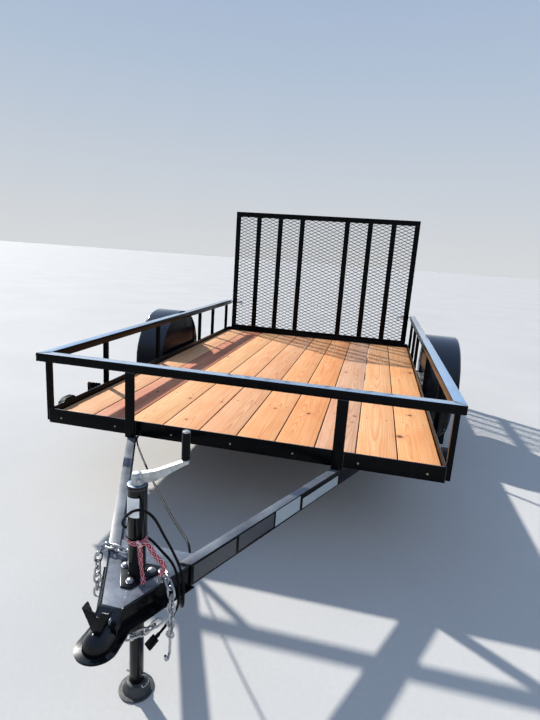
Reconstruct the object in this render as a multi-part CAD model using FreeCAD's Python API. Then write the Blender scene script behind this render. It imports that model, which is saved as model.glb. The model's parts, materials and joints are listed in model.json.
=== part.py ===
import FreeCAD, Part
import math
import os

os.makedirs("parts", exist_ok=True)
V = FreeCAD.Vector

# Single-axle utility trailer with an open mesh tailgate, parked on its drawbar jack.
# Millimetres.  X across (the trailer's left side is +X), Y along (drawbar at -Y, tailgate at +Y),
# Z up from the ground.  While it is drawn Y = 0 is the front face of the deck frame; the last step
# moves everything by Y_SHIFT so that the origin is on the ground in the middle of the outline.

# ------------------------------------------------------------------ driving dimensions
FRAME_W = 1956.0        # outside width of the deck frame
FRAME_L = 3080.0        # outside length of the deck frame
FRAME_TOP = 495.0       # top edge of the frame angle above the ground
FRAME_H = 76.0          # standing leg of the frame angle
FRAME_LEG = 50.0        # lying leg of the frame angle
FRAME_T = 5.0

BOARD_COUNT = 10
BOARD_T = 38.0
BOARD_W = 190.0
BOARD_GAP = 4.4

RAIL_W = 50.8           # rail tube across
RAIL_H = 42.0           # rail tube high
RAIL_WALL = 3.0
RAIL_RISE = 296.0       # rail top above the frame top
RAIL_OUT = 38.0         # how far the rail stands out of the frame on three sides

POST = 25.0             # leg of the side and corner post angles
POST_FRONT = 50.0       # wide leg of the front posts
POST_T = 4.0

TONGUE_C0 = 517.0       # drawbar centre line X at Y = 0
TONGUE_M = math.tan(math.radians(25.0))
TONGUE_W = 36.0         # channel flange width
TONGUE_H = 76.0
TONGUE_WEB = 4.5
TONGUE_FLANGE = 6.0
TONGUE_FRONT = -852.0
TONGUE_BACK = 600.0

JACK_Y = -928.0
JACK_R_UP = 28.5        # upper sleeve
JACK_R_LOW = 25.5       # lower sleeve
JACK_WALL = 3.0
JACK_TOP = 700.0
JACK_STEP = 541.0
LEG_R = 22.2
LEG_TRAVEL = 240.0

BALL_Y = -1138.0
BALL_Z = 352.0
BALL_R = 25.65          # socket for a 50.8 mm ball

WHEEL_Z = 343.0
AXLE_Y = 1806.0
TYRE_R = 343.0
TYRE_W = 203.0
TYRE_X = 1132.0         # middle of the tyre
RIM_R = 190.0

FENDER_R = 388.0
FENDER_Z = 412.0
FENDER_LOW = 345.0
FENDER_IN = 1016.4      # inner skin, just outside the rail
FENDER_OUT = 1246.0
FENDER_T = 2.5

GATE_W = 1900.0
GATE_H = 1262.0
GATE_ANGLE = 50.0       # leg in the gate's plane
GATE_DEPTH = 38.0       # leg across it
GATE_PITCH = (1900.0 - 38.0) / 8
GATE_T = 4.0
GATE_BAYS = 8
GATE_SKIP = 4           # this bar position is empty: the bay in the middle is double
HINGE_Y = FRAME_L + 24.0
HINGE_Z = FRAME_TOP - 42.0
GATE_FACE = FRAME_L + 9.0   # front face of the gate
GATE_FOOT = FRAME_TOP - 22.0

HALF = FRAME_W / 2
FRAME_BOT = FRAME_TOP - FRAME_H
SEAT = FRAME_BOT + FRAME_T          # boards lie here
DECK = SEAT + BOARD_T
RAIL_TOP = FRAME_TOP + RAIL_RISE
RAIL_BOT = RAIL_TOP - RAIL_H

NODES = {}


# ------------------------------------------------------------------ helpers
def box(x0, x1, y0, y1, z0, z1):
    x0, x1 = min(x0, x1), max(x0, x1)
    y0, y1 = min(y0, y1), max(y0, y1)
    z0, z1 = min(z0, z1), max(z0, z1)
    return Part.makeBox(x1 - x0, y1 - y0, z1 - z0, V(x0, y0, z0))


def cyl(r, p, q):
    d = V(*q).sub(V(*p))
    return Part.makeCylinder(r, d.Length, V(*p), d)


def tube(r, wall, p, q):
    d = V(*q).sub(V(*p))
    over = V(d)
    over.normalize()
    a = V(*p).sub(over * 5)
    inner = Part.makeCylinder(r - wall, d.Length + 10, a, d)
    return cyl(r, p, q).cut(inner)


def prism(points, height, axis="Z", at=0.0):
    """Closed outline in the plane across axis, pushed along it. X: (y, z), Y: (x, z), Z: (x, y)."""
    if axis == "Z":
        pts = [V(a, b, at) for a, b in points]
        d = V(0, 0, height)
    elif axis == "Y":
        pts = [V(a, at, b) for a, b in points]
        d = V(0, height, 0)
    else:
        pts = [V(at, a, b) for a, b in points]
        d = V(height, 0, 0)
    wire = Part.makePolygon(pts + [pts[0]])
    return Part.Face(wire).extrude(d)


def fuse(shapes):
    out = shapes[0]
    if len(shapes) > 1:
        out = out.multiFuse(shapes[1:])
    return out.removeSplitter()


def mirror_x(shape):
    return shape.mirror(V(0, 0, 0), V(1, 0, 0))


def both(shape):
    return [shape, mirror_x(shape)]


def add(name, shapes):
    solids = []
    for s in (shapes if isinstance(shapes, (list, tuple)) else [shapes]):
        solids.extend(s.Solids)
    NODES[name] = solids


def angle_z(x, y, z0, z1, sx, sy, leg=POST, t=POST_T, leg2=None):
    """Standing angle iron with its heel at (x, y); sx and sy say which way the legs run."""
    b = leg2 or leg
    pts = [(0, 0), (leg, 0), (leg, t), (t, t), (t, b), (0, b)]
    return prism([(x + sx * a, y + sy * c) for a, c in pts], z1 - z0, "Z", z0)


# ------------------------------------------------------------------ deck frame
front = fuse([box(-HALF, HALF, 0, FRAME_T, FRAME_BOT, FRAME_TOP),
              box(-HALF + FRAME_T, HALF - FRAME_T, FRAME_T, FRAME_LEG, FRAME_BOT, SEAT)])
rear = fuse([box(-HALF, HALF, FRAME_L - FRAME_T, FRAME_L, FRAME_BOT, FRAME_TOP),
             box(-HALF + FRAME_T, HALF - FRAME_T, FRAME_L - FRAME_LEG, FRAME_L - FRAME_T, FRAME_BOT, SEAT)])
side = fuse([box(HALF - FRAME_T, HALF, FRAME_T, FRAME_L - FRAME_T, FRAME_BOT, FRAME_TOP),
             box(HALF - FRAME_LEG, HALF - FRAME_T, FRAME_LEG, FRAME_L - FRAME_LEG, FRAME_BOT, SEAT)])
# clip for the wiring lead, a small eye on a tab on the face of the front angle
CLIP_X, CLIP_Z = -470.0, 430.0
clip = fuse([tube(6.6, 2.4, (CLIP_X, -16, CLIP_Z), (CLIP_X, -3, CLIP_Z)), box(CLIP_X - 3, CLIP_X + 3, -16, 0, CLIP_Z + 5.5, CLIP_Z + 16)])
front = fuse([front, clip])
add("frame_ends", [front, rear])
add("frame_sides", both(side))

CROSS_X = HALF - FRAME_LEG
CROSSMEMBERS_Y = [605.0, 1215.0, 1825.0, 2435.0]
cross = []
for y in CROSSMEMBERS_Y:
    pts = [(y, SEAT), (y + 50, SEAT), (y + 50, SEAT - 5), (y + 5, SEAT - 5), (y + 5, SEAT - 50), (y, SEAT - 50)]
    cross.append(prism(pts, 2 * CROSS_X, "X", -CROSS_X))
add("crossmembers", cross)

# ------------------------------------------------------------------ deck boards
span = BOARD_COUNT * BOARD_W + (BOARD_COUNT - 1) * BOARD_GAP
boards = []
for i in range(BOARD_COUNT):
    x = -span / 2 + i * (BOARD_W + BOARD_GAP)
    b = box(x, x + BOARD_W, FRAME_T + 1, FRAME_L - FRAME_T - 1, SEAT, DECK)
    boards.append(b)
add("deck_boards", boards)

# ------------------------------------------------------------------ drawbar channels
COS25 = math.cos(math.radians(25.0))


def tongue_x(y, off=0.0):
    return TONGUE_C0 + TONGUE_M * y + off / COS25


def tongue_strip(off0, off1, z0, z1, y0=TONGUE_FRONT, y1=TONGUE_BACK):
    pts = [(tongue_x(y0, off0), y0), (tongue_x(y1, off0), y1), (tongue_x(y1, off1), y1), (tongue_x(y0, off1), y0)]
    return prism(pts, z1 - z0, "Z", z0)


h = TONGUE_W / 2
T_TOP = FRAME_BOT
T_BOT = FRAME_BOT - TONGUE_H
tongue = fuse([tongue_strip(h - TONGUE_WEB, h, T_BOT, T_TOP),
               tongue_strip(-h, h - TONGUE_WEB, T_TOP - TONGUE_FLANGE, T_TOP),
               tongue_strip(-h, h - TONGUE_WEB, T_BOT, T_BOT + TONGUE_FLANGE)])
add("drawbar_arms", both(tongue))

# ------------------------------------------------------------------ coupler: pressed A-frame shell and ball socket
SHELL_T = 4.5
C_TOP = T_TOP - TONGUE_FLANGE - 0.4
C_BOT = T_BOT + TONGUE_FLANGE + 0.4
C_OUT = h - TONGUE_WEB - 0.5        # outer face of the side wall from the drawbar centre line
C_REAR = -792.0
NECK_Y = -1068.0


def outline_face(off, z, rear=C_REAR):
    """Flat face: straight walls, tangent-like neck and a round nose made of arcs."""
    r = 38.0 - off
    a = V(tongue_x(rear, C_OUT - off), rear, z)
    b = V(tongue_x(NECK_Y, C_OUT - off), NECK_Y, z)
    c = V(r, BALL_Y, z)
    n = V(0, BALL_Y - r, z)
    c2, b2, a2 = V(-c.x, c.y, z), V(-b.x, b.y, z), V(-a.x, a.y, z)
    e = [Part.makeLine(a, b), Part.makeLine(b, c), Part.Arc(c, n, c2).toShape(),
         Part.makeLine(c2, b2), Part.makeLine(b2, a2), Part.makeLine(a2, a)]
    return Part.Face(Part.Wire(e))


def nose_cut(drop):
    """Everything above the sloping nose top."""
    z = C_TOP - drop
    pts = [(-1076, z), (-1112, z - 30), (-1300, z - 30), (-1300, 600), (-1076, 600)]
    return prism(pts, 400, "X", -200)


outer = outline_face(0, C_BOT).extrude(V(0, 0, C_TOP - C_BOT)).cut(nose_cut(0))
inner = outline_face(SHELL_T, C_BOT - 20, C_REAR + 30).extrude(V(0, 0, C_TOP - SHELL_T - C_BOT + 20)).cut(nose_cut(SHELL_T))
shell = outer.cut(inner)
socket = cyl(37.0, (0, BALL_Y, C_BOT - 6), (0, BALL_Y, BALL_Z + 2))
dome = Part.makeSphere(37.0, V(0, BALL_Y, BALL_Z)).cut(box(-60, 60, BALL_Y - 60, BALL_Y + 60, 250, BALL_Z))
cavity = fuse([Part.makeSphere(BALL_R + 0.5, V(0, BALL_Y, BALL_Z)).cut(box(-60, 60, BALL_Y - 60, BALL_Y + 60, 250, BALL_Z)),
               cyl(BALL_R, (0, BALL_Y, 300), (0, BALL_Y, BALL_Z))])
lip_out = outline_face(-18, C_BOT - 6, -856.0).extrude(V(0, 0, 6))
lip_in = outline_face(SHELL_T, C_BOT - 20, -700.0).extrude(V(0, 0, 40))
lip = lip_out.cut(lip_in)
coupler = fuse([shell, lip, socket, dome]).cut(cavity)
add("coupler", coupler)

# raised latch: a folded handle with two wings standing behind the dome, its flanges run back to the pivot
LATCH_Y = -1143.0
LATCH_PROFILE = [
    # x, z of the front skin
    (-9, 390), (9, 390), (38, 458), (15, 457), (4, 430), (-4, 451), (-39, 458),
]
skin = prism(LATCH_PROFILE, 3.0, "Y", LATCH_Y)
flanges = []
for (xa, za), (xb, zb) in (((9, 390), (38, 458)), ((-9, 390), (-39, 458))):
    k = 3.0 if xa > 0 else -3.0
    flanges.append(prism([(xa, za), (xb, zb), (xb - k, zb), (xa - k, za)], 25.0, "Y", LATCH_Y))
base = box(-9, 9, LATCH_Y, LATCH_Y + 45, 389.6, 397)
pivot = cyl(5.0, (-24, -1100, 394), (24, -1100, 394))
latch = fuse([skin, base, pivot] + flanges).cut(NODES["coupler"][0])
latch = max(latch.Solids, key=lambda q: q.Volume)
add("coupler_latch", latch)

# ------------------------------------------------------------------ jack
upper = tube(JACK_R_UP, JACK_WALL, (0, JACK_Y, JACK_STEP), (0, JACK_Y, JACK_TOP - 6))
cap = cyl(JACK_R_UP + 1.2, (0, JACK_Y, JACK_TOP - 6), (0, JACK_Y, JACK_TOP))
lower = tube(JACK_R_LOW, JACK_WALL, (0, JACK_Y, T_BOT - 8), (0, JACK_Y, JACK_STEP + 4))
collar = tube(JACK_R_UP, 3.2, (0, JACK_Y, JACK_STEP), (0, JACK_Y, JACK_STEP + 5))
flange_z = C_TOP
fl = [(-64, -884), (-66, -902), (-15, -998), (15, -998), (66, -902), (64, -884)]
flange = prism(fl, 5, "Z", flange_z).cut(cyl(JACK_R_LOW - 1.0, (0, JACK_Y, flange_z - 5), (0, JACK_Y, flange_z + 10)))
add("jack_tube", fuse([upper, cap, collar, lower, flange]))
# the coupler's top has a hole that the jack tube goes through
NODES["coupler"] = NODES["coupler"][0].cut(cyl(JACK_R_LOW + 0.4, (0, JACK_Y, 300), (0, JACK_Y, 500))).Solids

CRANK_DIR = math.radians(36.0)
CRANK_R = 136.0
cx, cy = CRANK_R * math.cos(CRANK_DIR), JACK_Y + CRANK_R * math.sin(CRANK_DIR)
CRANK_BAR = [
    # distance from the jack's middle, underside and top above the jack's top, width: a flat bar on edge
    (0, 2, 34, 18),
    (50, 5, 35, 16),
    (CRANK_R, 44, 56, 18),
]
head = cyl(15.0, (0, JACK_Y, JACK_TOP), (0, JACK_Y, JACK_TOP + 26))


def bar_section(row):
    dist, za, zb, wide = row
    u = V(math.cos(CRANK_DIR), math.sin(CRANK_DIR), 0)
    n = V(-u.y, u.x, 0) * (wide / 2)
    c = V(0, JACK_Y, JACK_TOP) + u * dist
    pts = [c + n + V(0, 0, za), c - n + V(0, 0, za), c - n + V(0, 0, zb), c + n + V(0, 0, zb)]
    return Part.makePolygon(pts + [pts[0]])


bar = [Part.makeLoft([bar_section(p), bar_section(q)], True, True) for p, q in zip(CRANK_BAR[:-1], CRANK_BAR[1:])]
arm = fuse([head] + bar + [cyl(10.0, (cx, cy, JACK_TOP + 44), (cx, cy, JACK_TOP + 56)), cyl(5.0, (cx, cy, JACK_TOP + 55), (cx, cy, JACK_TOP + 145))])
add("jack_crank", arm)
grip = cyl(12.5, (cx, cy, JACK_TOP + 57), (cx, cy, JACK_TOP + 141)).cut(cyl(5.3, (cx, cy, JACK_TOP + 50), (cx, cy, JACK_TOP + 150)))
add("jack_grip", grip)

LEG_TOP = 440.0
leg = cyl(LEG_R, (0, JACK_Y, 6), (0, JACK_Y, LEG_TOP)).cut(cyl(LEG_R - 3.0, (0, JACK_Y, 12), (0, JACK_Y, LEG_TOP + 5)))
add("jack_leg", leg)
foot = fuse([cyl(54.0, (0, JACK_Y, 0), (0, JACK_Y, 5)),
             Part.makeCone(42.0, 29.0, 24, V(0, JACK_Y, 5), V(0, 0, 1))]).cut(cyl(LEG_R + 0.2, (0, JACK_Y, 5.8), (0, JACK_Y, 40)))
add("jack_foot", foot)

# ------------------------------------------------------------------ posts
FRONT_POSTS = [
    # x of the heel, leg direction
    (-TONGUE_C0 + 4, 1),
    (TONGUE_C0 - 4, -1),
]
posts = []
for x, sx in FRONT_POSTS:
    x0 = x - sx * 19
    posts.append(angle_z(x0, -RAIL_OUT, FRAME_BOT, RAIL_BOT, sx, 1, POST_FRONT, POST_T, RAIL_OUT - 0.0))
add("posts_front", posts)

CORNER_Y = 14.0         # front face of the corner posts, which stand against the frame's side
CORNER = []
for s in (-1, 1):
    CORNER.append(angle_z(s * HALF, CORNER_Y, FRAME_BOT + 6, RAIL_BOT, s, 1, POST, POST_T, POST))

SIDE_POSTS_Y = [572.0, 1304.0, 2196.0, 2562.0, 3010.0]    # heel of each post, front to back
sides = []
for s in (-1, 1):
    for y in SIDE_POSTS_Y:
        sides.append(angle_z(s * (HALF + POST), y, FRAME_BOT + 6, RAIL_BOT, -s, -1, POST, POST_T, POST))
add("posts_side", sides + CORNER)

# ------------------------------------------------------------------ top rail, three tubes mitred at the corners
XO = HALF + RAIL_OUT
XI = XO - RAIL_W
YO = -RAIL_OUT
YI = YO + RAIL_W


def mitred(z0, z1, w):
    fr = [(-XO + w, YO + w), (XO - w, YO + w), (XI + w, YI - w), (-XI - w, YI - w)]
    return prism(fr, z1 - z0, "Z", z0)


front_rail = mitred(RAIL_BOT, RAIL_TOP, 0).cut(
    prism([(-XO, YO + RAIL_WALL), (XO, YO + RAIL_WALL), (XO, YI - RAIL_WALL), (-XO, YI - RAIL_WALL)],
          RAIL_H - 2 * RAIL_WALL, "Z", RAIL_BOT + RAIL_WALL))
add("rail_front", front_rail)
side_rail = prism([(XO, YO), (XO, FRAME_L), (XI, FRAME_L), (XI, YI)], RAIL_H, "Z", RAIL_BOT).cut(
    box(XI + RAIL_WALL, XO - RAIL_WALL, -200, FRAME_L - RAIL_WALL, RAIL_BOT + RAIL_WALL, RAIL_TOP - RAIL_WALL))
add("rails_side", both(side_rail))

# ------------------------------------------------------------------ fenders
def half_ring(r0, r1, x0, x1):
    a = cyl(r1, (x0, AXLE_Y, FENDER_Z), (x1, AXLE_Y, FENDER_Z))
    leg_box = box(x0, x1, AXLE_Y - r1, AXLE_Y + r1, FENDER_LOW, FENDER_Z)
    out = fuse([a.cut(box(x0 - 1, x1 + 1, AXLE_Y - 600, AXLE_Y + 600, 0, FENDER_Z)), leg_box])
    if r0:
        b = cyl(r0, (x0 - 1, AXLE_Y, FENDER_Z), (x1 + 1, AXLE_Y, FENDER_Z))
        lb = box(x0 - 1, x1 + 1, AXLE_Y - r0, AXLE_Y + r0, 0, FENDER_Z)
        out = out.cut(b).cut(lb)
    return out


def swept_fender():
    """Cross section in (x, radius) turned 180 degrees about the wheel line and run straight down at both ends."""
    r = FENDER_R
    t = FENDER_T
    e = 22.0
    xo = FENDER_OUT

    def section():
        # points in (x, drop below the fender's crown)
        P = lambda x, d: V(x, AXLE_Y - r + d, FENDER_Z)
        k = math.sqrt(0.5)
        ln = [Part.makeLine(P(FENDER_IN + 0.0, 0), P(xo - e, 0)),
              Part.Arc(P(xo - e, 0), P(xo - e + e * k, e - e * k), P(xo, e)).toShape(),
              Part.makeLine(P(xo, e), P(xo, 46)),
              Part.makeLine(P(xo, 46), P(xo - t, 46)),
              Part.makeLine(P(xo - t, 46), P(xo - t, e)),
              Part.Arc(P(xo - t, e), P(xo - e + (e - t) * k, e - (e - t) * k), P(xo - e, t)).toShape(),
              Part.makeLine(P(xo - e, t), P(FENDER_IN, t)),
              Part.makeLine(P(FENDER_IN, t), P(FENDER_IN, 0))]
        return Part.Face(Part.Wire(ln))

    sec = section()
    turn = sec.revolve(V(0, AXLE_Y, FENDER_Z), V(1, 0, 0), -180)
    down1 = sec.extrude(V(0, 0, FENDER_LOW - FENDER_Z))
    sec2 = sec.copy()
    sec2.rotate(V(0, AXLE_Y, FENDER_Z), V(1, 0, 0), -180)
    down2 = sec2.extrude(V(0, 0, FENDER_LOW - FENDER_Z))
    return turn, down1, down2


turn, down1, down2 = swept_fender()
panel = half_ring(None, FENDER_R - FENDER_T, FENDER_IN, FENDER_IN + FENDER_T)
# the inner skin stops at the frame, so that the axle and spring have their space
panel = panel.cut(box(FENDER_IN - 1, FENDER_IN + 5, AXLE_Y - FENDER_R + 30, AXLE_Y + FENDER_R - 30, 0, FRAME_BOT))
brackets = [box(HALF + 0.2, FENDER_IN + 1, AXLE_Y + y - 20, AXLE_Y + y + 20, FRAME_TOP - 46, FRAME_TOP - 40) for y in (-240, 240)]
fender_l = fuse([turn, down1, down2, panel] + brackets)
add("fender_left", fender_l)
add("fender_right", mirror_x(fender_l))

# ------------------------------------------------------------------ axle, springs, hangers
TUBE_R = 30.0
TUBE_Z = WHEEL_Z - 102.0
SPRING_X = 950.0
SEAT_Z = TUBE_Z + TUBE_R
RISE0, RISE1 = 1016.0, 1088.0


def path_tube(points, bend, r):
    """Solid round bar along straight runs joined by arcs."""
    pts = [V(*p) for p in points]
    edges = []
    cur = pts[0]
    for i in range(1, len(pts) - 1):
        a, b, c = pts[i - 1], pts[i], pts[i + 1]
        u = b.sub(a)
        u.normalize()
        v = c.sub(b)
        v.normalize()
        ang = u.getAngle(v)
        t = bend * math.tan(ang / 2)
        p, q = b - u * t, b + v * t
        bis = v.sub(u)
        bis.normalize()
        m = b + bis * (bend / math.cos(ang / 2) - bend)
        edges.append(Part.makeLine(cur, p))
        edges.append(Part.Arc(p, m, q).toShape())
        cur = q
    edges.append(Part.makeLine(cur, pts[-1]))
    wire = Part.Wire(edges)
    d = pts[1].sub(pts[0])
    prof = Part.Wire(Part.Circle(pts[0], d, r).toShape())
    return wire.makePipeShell([prof], True, True)


AXLE_END = 992.0
bent = path_tube([(AXLE_END, AXLE_Y, TUBE_Z), (RISE0, AXLE_Y, TUBE_Z), (RISE1 - 8, AXLE_Y, WHEEL_Z), (1106, AXLE_Y, WHEEL_Z)], 30.0, TUBE_R - 4)
middle = cyl(TUBE_R, (-AXLE_END, AXLE_Y, TUBE_Z), (AXLE_END, AXLE_Y, TUBE_Z))
SPINDLE_R = 17.5
stub = cyl(SPINDLE_R, (1104, AXLE_Y, WHEEL_Z), (TYRE_X + 56, AXLE_Y, WHEEL_Z))
end_piece = fuse([bent, stub])
pads = [box(s * (SPRING_X - 21), s * (SPRING_X + 17), AXLE_Y - 45, AXLE_Y + 45, TUBE_Z + 10, SEAT_Z) for s in (-1, 1)]
add("axle", fuse([middle] + both(end_piece) + pads))

EYE_HALF = 335.0
EYE_Z = 371.0
LEAF_W = 44.0
LEAF_T = 7.5


LEAVES = [
    # half length of each leaf from the top one down
    322.0,
    240.0,
    165.0,
]
EYE_RISE = 62.0
ARC_R = (322.0 ** 2 + EYE_RISE ** 2) / (2 * EYE_RISE)     # top face of the main leaf
ARC_Z = SEAT_Z + LEAF_T * len(LEAVES) + ARC_R
eye_y = 322.0
eye_z = ARC_Z - ARC_R + EYE_RISE - 1
stack = None
for k, half_len in enumerate(LEAVES):
    r0, r1 = ARC_R + k * LEAF_T, ARC_R + (k + 1) * LEAF_T
    a = math.asin(half_len / r1)
    P = lambda r, t: V(SPRING_X - LEAF_W / 2, AXLE_Y + r * math.sin(t), ARC_Z - r * math.cos(t))
    e = [Part.Arc(P(r0, -a), P(r0, 0), P(r0, a)).toShape(), Part.makeLine(P(r0, a), P(r1, a)),
         Part.Arc(P(r1, a), P(r1, 0), P(r1, -a)).toShape(), Part.makeLine(P(r1, -a), P(r0, -a))]
    one = Part.Face(Part.Wire(e)).extrude(V(LEAF_W, 0, 0))
    stack = one if stack is None else stack.fuse(one)
for s in (-1, 1):
    stack = stack.fuse(cyl(15.0, (SPRING_X - LEAF_W / 2, AXLE_Y + s * eye_y, eye_z + 4), (SPRING_X + LEAF_W / 2, AXLE_Y + s * eye_y, eye_z + 4)))
for s in (-1, 1):
    stack = stack.cut(cyl(9.2, (SPRING_X - LEAF_W, AXLE_Y + s * eye_y, eye_z + 4), (SPRING_X + LEAF_W, AXLE_Y + s * eye_y, eye_z + 4)))
# the flat seat under the middle
stack = stack.cut(box(SPRING_X - 60, SPRING_X + 60, AXLE_Y - 60, AXLE_Y + 60, 0, SEAT_Z)).removeSplitter()
add("leaf_springs", both(stack))

hang = []
for s in (-1, 1):
    y = AXLE_Y + s * eye_y
    zz = eye_z + 4
    for x0 in (SPRING_X - LEAF_W / 2 - 6.0, SPRING_X + LEAF_W / 2 + 1.0):
        hang.append(prism([(y - 34, FRAME_BOT), (y + 34, FRAME_BOT), (y + 17, zz - 17), (y - 17, zz - 17)], 5.0, "X", x0))
    hang.append(box(SPRING_X - LEAF_W / 2 - 6, SPRING_X + LEAF_W / 2 + 6, y - 34, y + 34, FRAME_BOT - 4, FRAME_BOT))
    hang.append(cyl(8.7, (SPRING_X - 34, y, zz), (SPRING_X + 34, y, zz)))
hangers = []
for s in (-1, 1):
    y = AXLE_Y + s * eye_y
    grp = [g for g in hang if abs(g.BoundBox.Center.y - y) < 60]
    hangers.append(fuse(grp))
add("spring_hangers", [x for g in hangers for x in both(g)])

plates = []
for s in (-1, 1):
    plates.append(box(s * (SPRING_X - 40), s * (SPRING_X + 36), AXLE_Y - 50, AXLE_Y + 50, TUBE_Z - TUBE_R - 8.5, TUBE_Z - TUBE_R - 0.5))
ub = []
for s in (-1, 1):
    for y in (AXLE_Y - 37.5, AXLE_Y + 37.5):
        top = SEAT_Z + LEAF_T * len(LEAVES) + 14
        x0, x1 = SPRING_X - 30, SPRING_X + 30
        p = path_tube([(x0, y, TUBE_Z - TUBE_R - 14), (x0, y, top), (x1, y, top), (x1, y, TUBE_Z - TUBE_R - 14)], 14.0, 6.0)
        ub.append(p if s > 0 else mirror_x(p))
set_l = fuse([plates[1]] + [u for u in ub if u.BoundBox.Center.x > 0])
set_r = fuse([plates[0]] + [u for u in ub if u.BoundBox.Center.x < 0])
add("spring_clamps", [set_l, set_r])
# ------------------------------------------------------------------ wheels
def turned(profile, side):
    """Closed (x, r) profile turned about the wheel line. x runs outward from the wheel's middle plane."""
    pts = [V(side * (TYRE_X + x), AXLE_Y, WHEEL_Z + r) for x, r in profile]
    f = Part.Face(Part.makePolygon(pts + [pts[0]]))
    return f.revolve(V(0, AXLE_Y, WHEEL_Z), V(1, 0, 0), 360)


w = TYRE_W / 2
TYRE = [
    (-65.4, RIM_R + 1.7), (-70.6, RIM_R + 17.8), (-82, RIM_R + 21), (-95, RIM_R + 48), (-w, RIM_R + 82), (-99, RIM_R + 112), (-88, TYRE_R - 15), (-78, TYRE_R - 5),
    (-58, TYRE_R), (58, TYRE_R), (78, TYRE_R - 5), (88, TYRE_R - 15), (99, RIM_R + 112), (w, RIM_R + 82), (95, RIM_R + 48), (82, RIM_R + 21), (70.6, RIM_R + 17.8),
    (65.4, RIM_R + 1.7), (54, RIM_R + 1.7), (62, RIM_R + 26), (82, RIM_R + 52), (87, RIM_R + 82), (84, RIM_R + 106), (72, TYRE_R - 20), (50, TYRE_R - 15),
    (-50, TYRE_R - 15), (-72, TYRE_R - 20), (-84, RIM_R + 106), (-87, RIM_R + 82), (-82, RIM_R + 52), (-62, RIM_R + 26), (-54, RIM_R + 1.7),
]
RIM = [
    (-76, RIM_R + 17), (-71, RIM_R + 17), (-66, RIM_R + 1.0), (-40, RIM_R), (-30, RIM_R - 18), (14, RIM_R - 18), (24, RIM_R - 1), (66, RIM_R + 1.0), (71, RIM_R + 17),
    (76, RIM_R + 17), (72, RIM_R - 3), (27, RIM_R - 5), (18, RIM_R - 22), (-34, RIM_R - 22), (-43, RIM_R - 4), (-72, RIM_R - 3),
]
DISC = [
    (2, 41.0), (8, 41.0), (8, 80), (26, 104), (26, 130), (12, RIM_R - 21.0), (4, RIM_R - 21.0), (20, 128), (20, 106), (2, 82),
]
HUB = [
    (-20, 0), (-20, 34), (-2.0, 36), (-2.0, 70), (1.6, 70), (1.6, 40.6), (22, 40.6), (26, 30), (56, 30), (62, 24), (62, 0),
]
for name, s in (("left", 1), ("right", -1)):
    add("tyre_" + name, turned(TYRE, s))
    rim = turned(RIM, s)
    disc = turned(DISC, s)
    for k in range(5):
        a = math.radians(90 + 72 * k + 36)
        cyy, czz = AXLE_Y + 140 * math.cos(a), WHEEL_Z + 140 * math.sin(a)
        disc = disc.cut(cyl(27.0, (s * (TYRE_X - 40), cyy, czz), (s * (TYRE_X + 60), cyy, czz)))
        b = math.radians(90 + 72 * k)
        by, bz = AXLE_Y + 57.15 * math.cos(b), WHEEL_Z + 57.15 * math.sin(b)
        disc = disc.cut(cyl(7.5, (s * (TYRE_X - 40), by, bz), (s * (TYRE_X + 60), by, bz)))
    add("rim_" + name, fuse([rim, disc]))
    hub = turned(HUB, s).cut(cyl(SPINDLE_R + 0.05, (s * 1040, AXLE_Y, WHEEL_Z), (s * (TYRE_X + 56.5), AXLE_Y, WHEEL_Z)))
    add("hub_" + name, hub)

# ------------------------------------------------------------------ tailgate
GX = GATE_W / 2
A, T, DEPTH = GATE_ANGLE, GATE_T, GATE_DEPTH
gz0, gz1 = GATE_FOOT, GATE_FOOT + GATE_H
gy0, gy1 = GATE_FACE, GATE_FACE + DEPTH
gate = fuse([
    box(-GX, GX, gy0, gy0 + T, gz0, gz0 + A), box(-GX, GX, gy0, gy1, gz0, gz0 + T),
    box(-GX, GX, gy0, gy0 + T, gz1 - A, gz1), box(-GX, GX, gy0, gy1, gz1 - T, gz1),
    box(-GX, -GX + A, gy0, gy0 + T, gz0, gz1), box(-GX, -GX + T, gy0, gy1, gz0, gz1),
    box(GX - A, GX, gy0, gy0 + T, gz0, gz1), box(GX - T, GX, gy0, gy1, gz0, gz1)])
add("gate_frame", gate)
bars = []
for i in range(1, GATE_BAYS):
    if i == GATE_SKIP:
        continue
    x = -GX + DEPTH / 2 + i * GATE_PITCH
    bars.append(fuse([box(x - A / 2, x + A / 2, gy0 + T, gy0 + 2 * T, gz0 + T, gz1 - T),
                      box(x - T / 2, x + T / 2, gy0 + 2 * T, gy1 - 4, gz0 + T, gz1 - T)]))
add("gate_bars", bars)
MESH_T = 2.0
mesh = []
edges = [-GX + T + 0.5] + [-GX + DEPTH / 2 + i * GATE_PITCH for i in range(1, GATE_BAYS) if i != GATE_SKIP] + [GX - T - 0.5]
for a, b in zip(edges[:-1], edges[1:]):
    mesh.append(box(a + T / 2 + 0.3, b - T / 2 - 0.3, gy0 + 2 * T + 0.1, gy0 + 2 * T + 0.1 + MESH_T, gz0 + T + 0.5, gz1 - T - 0.5))
add("gate_mesh", mesh)

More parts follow.
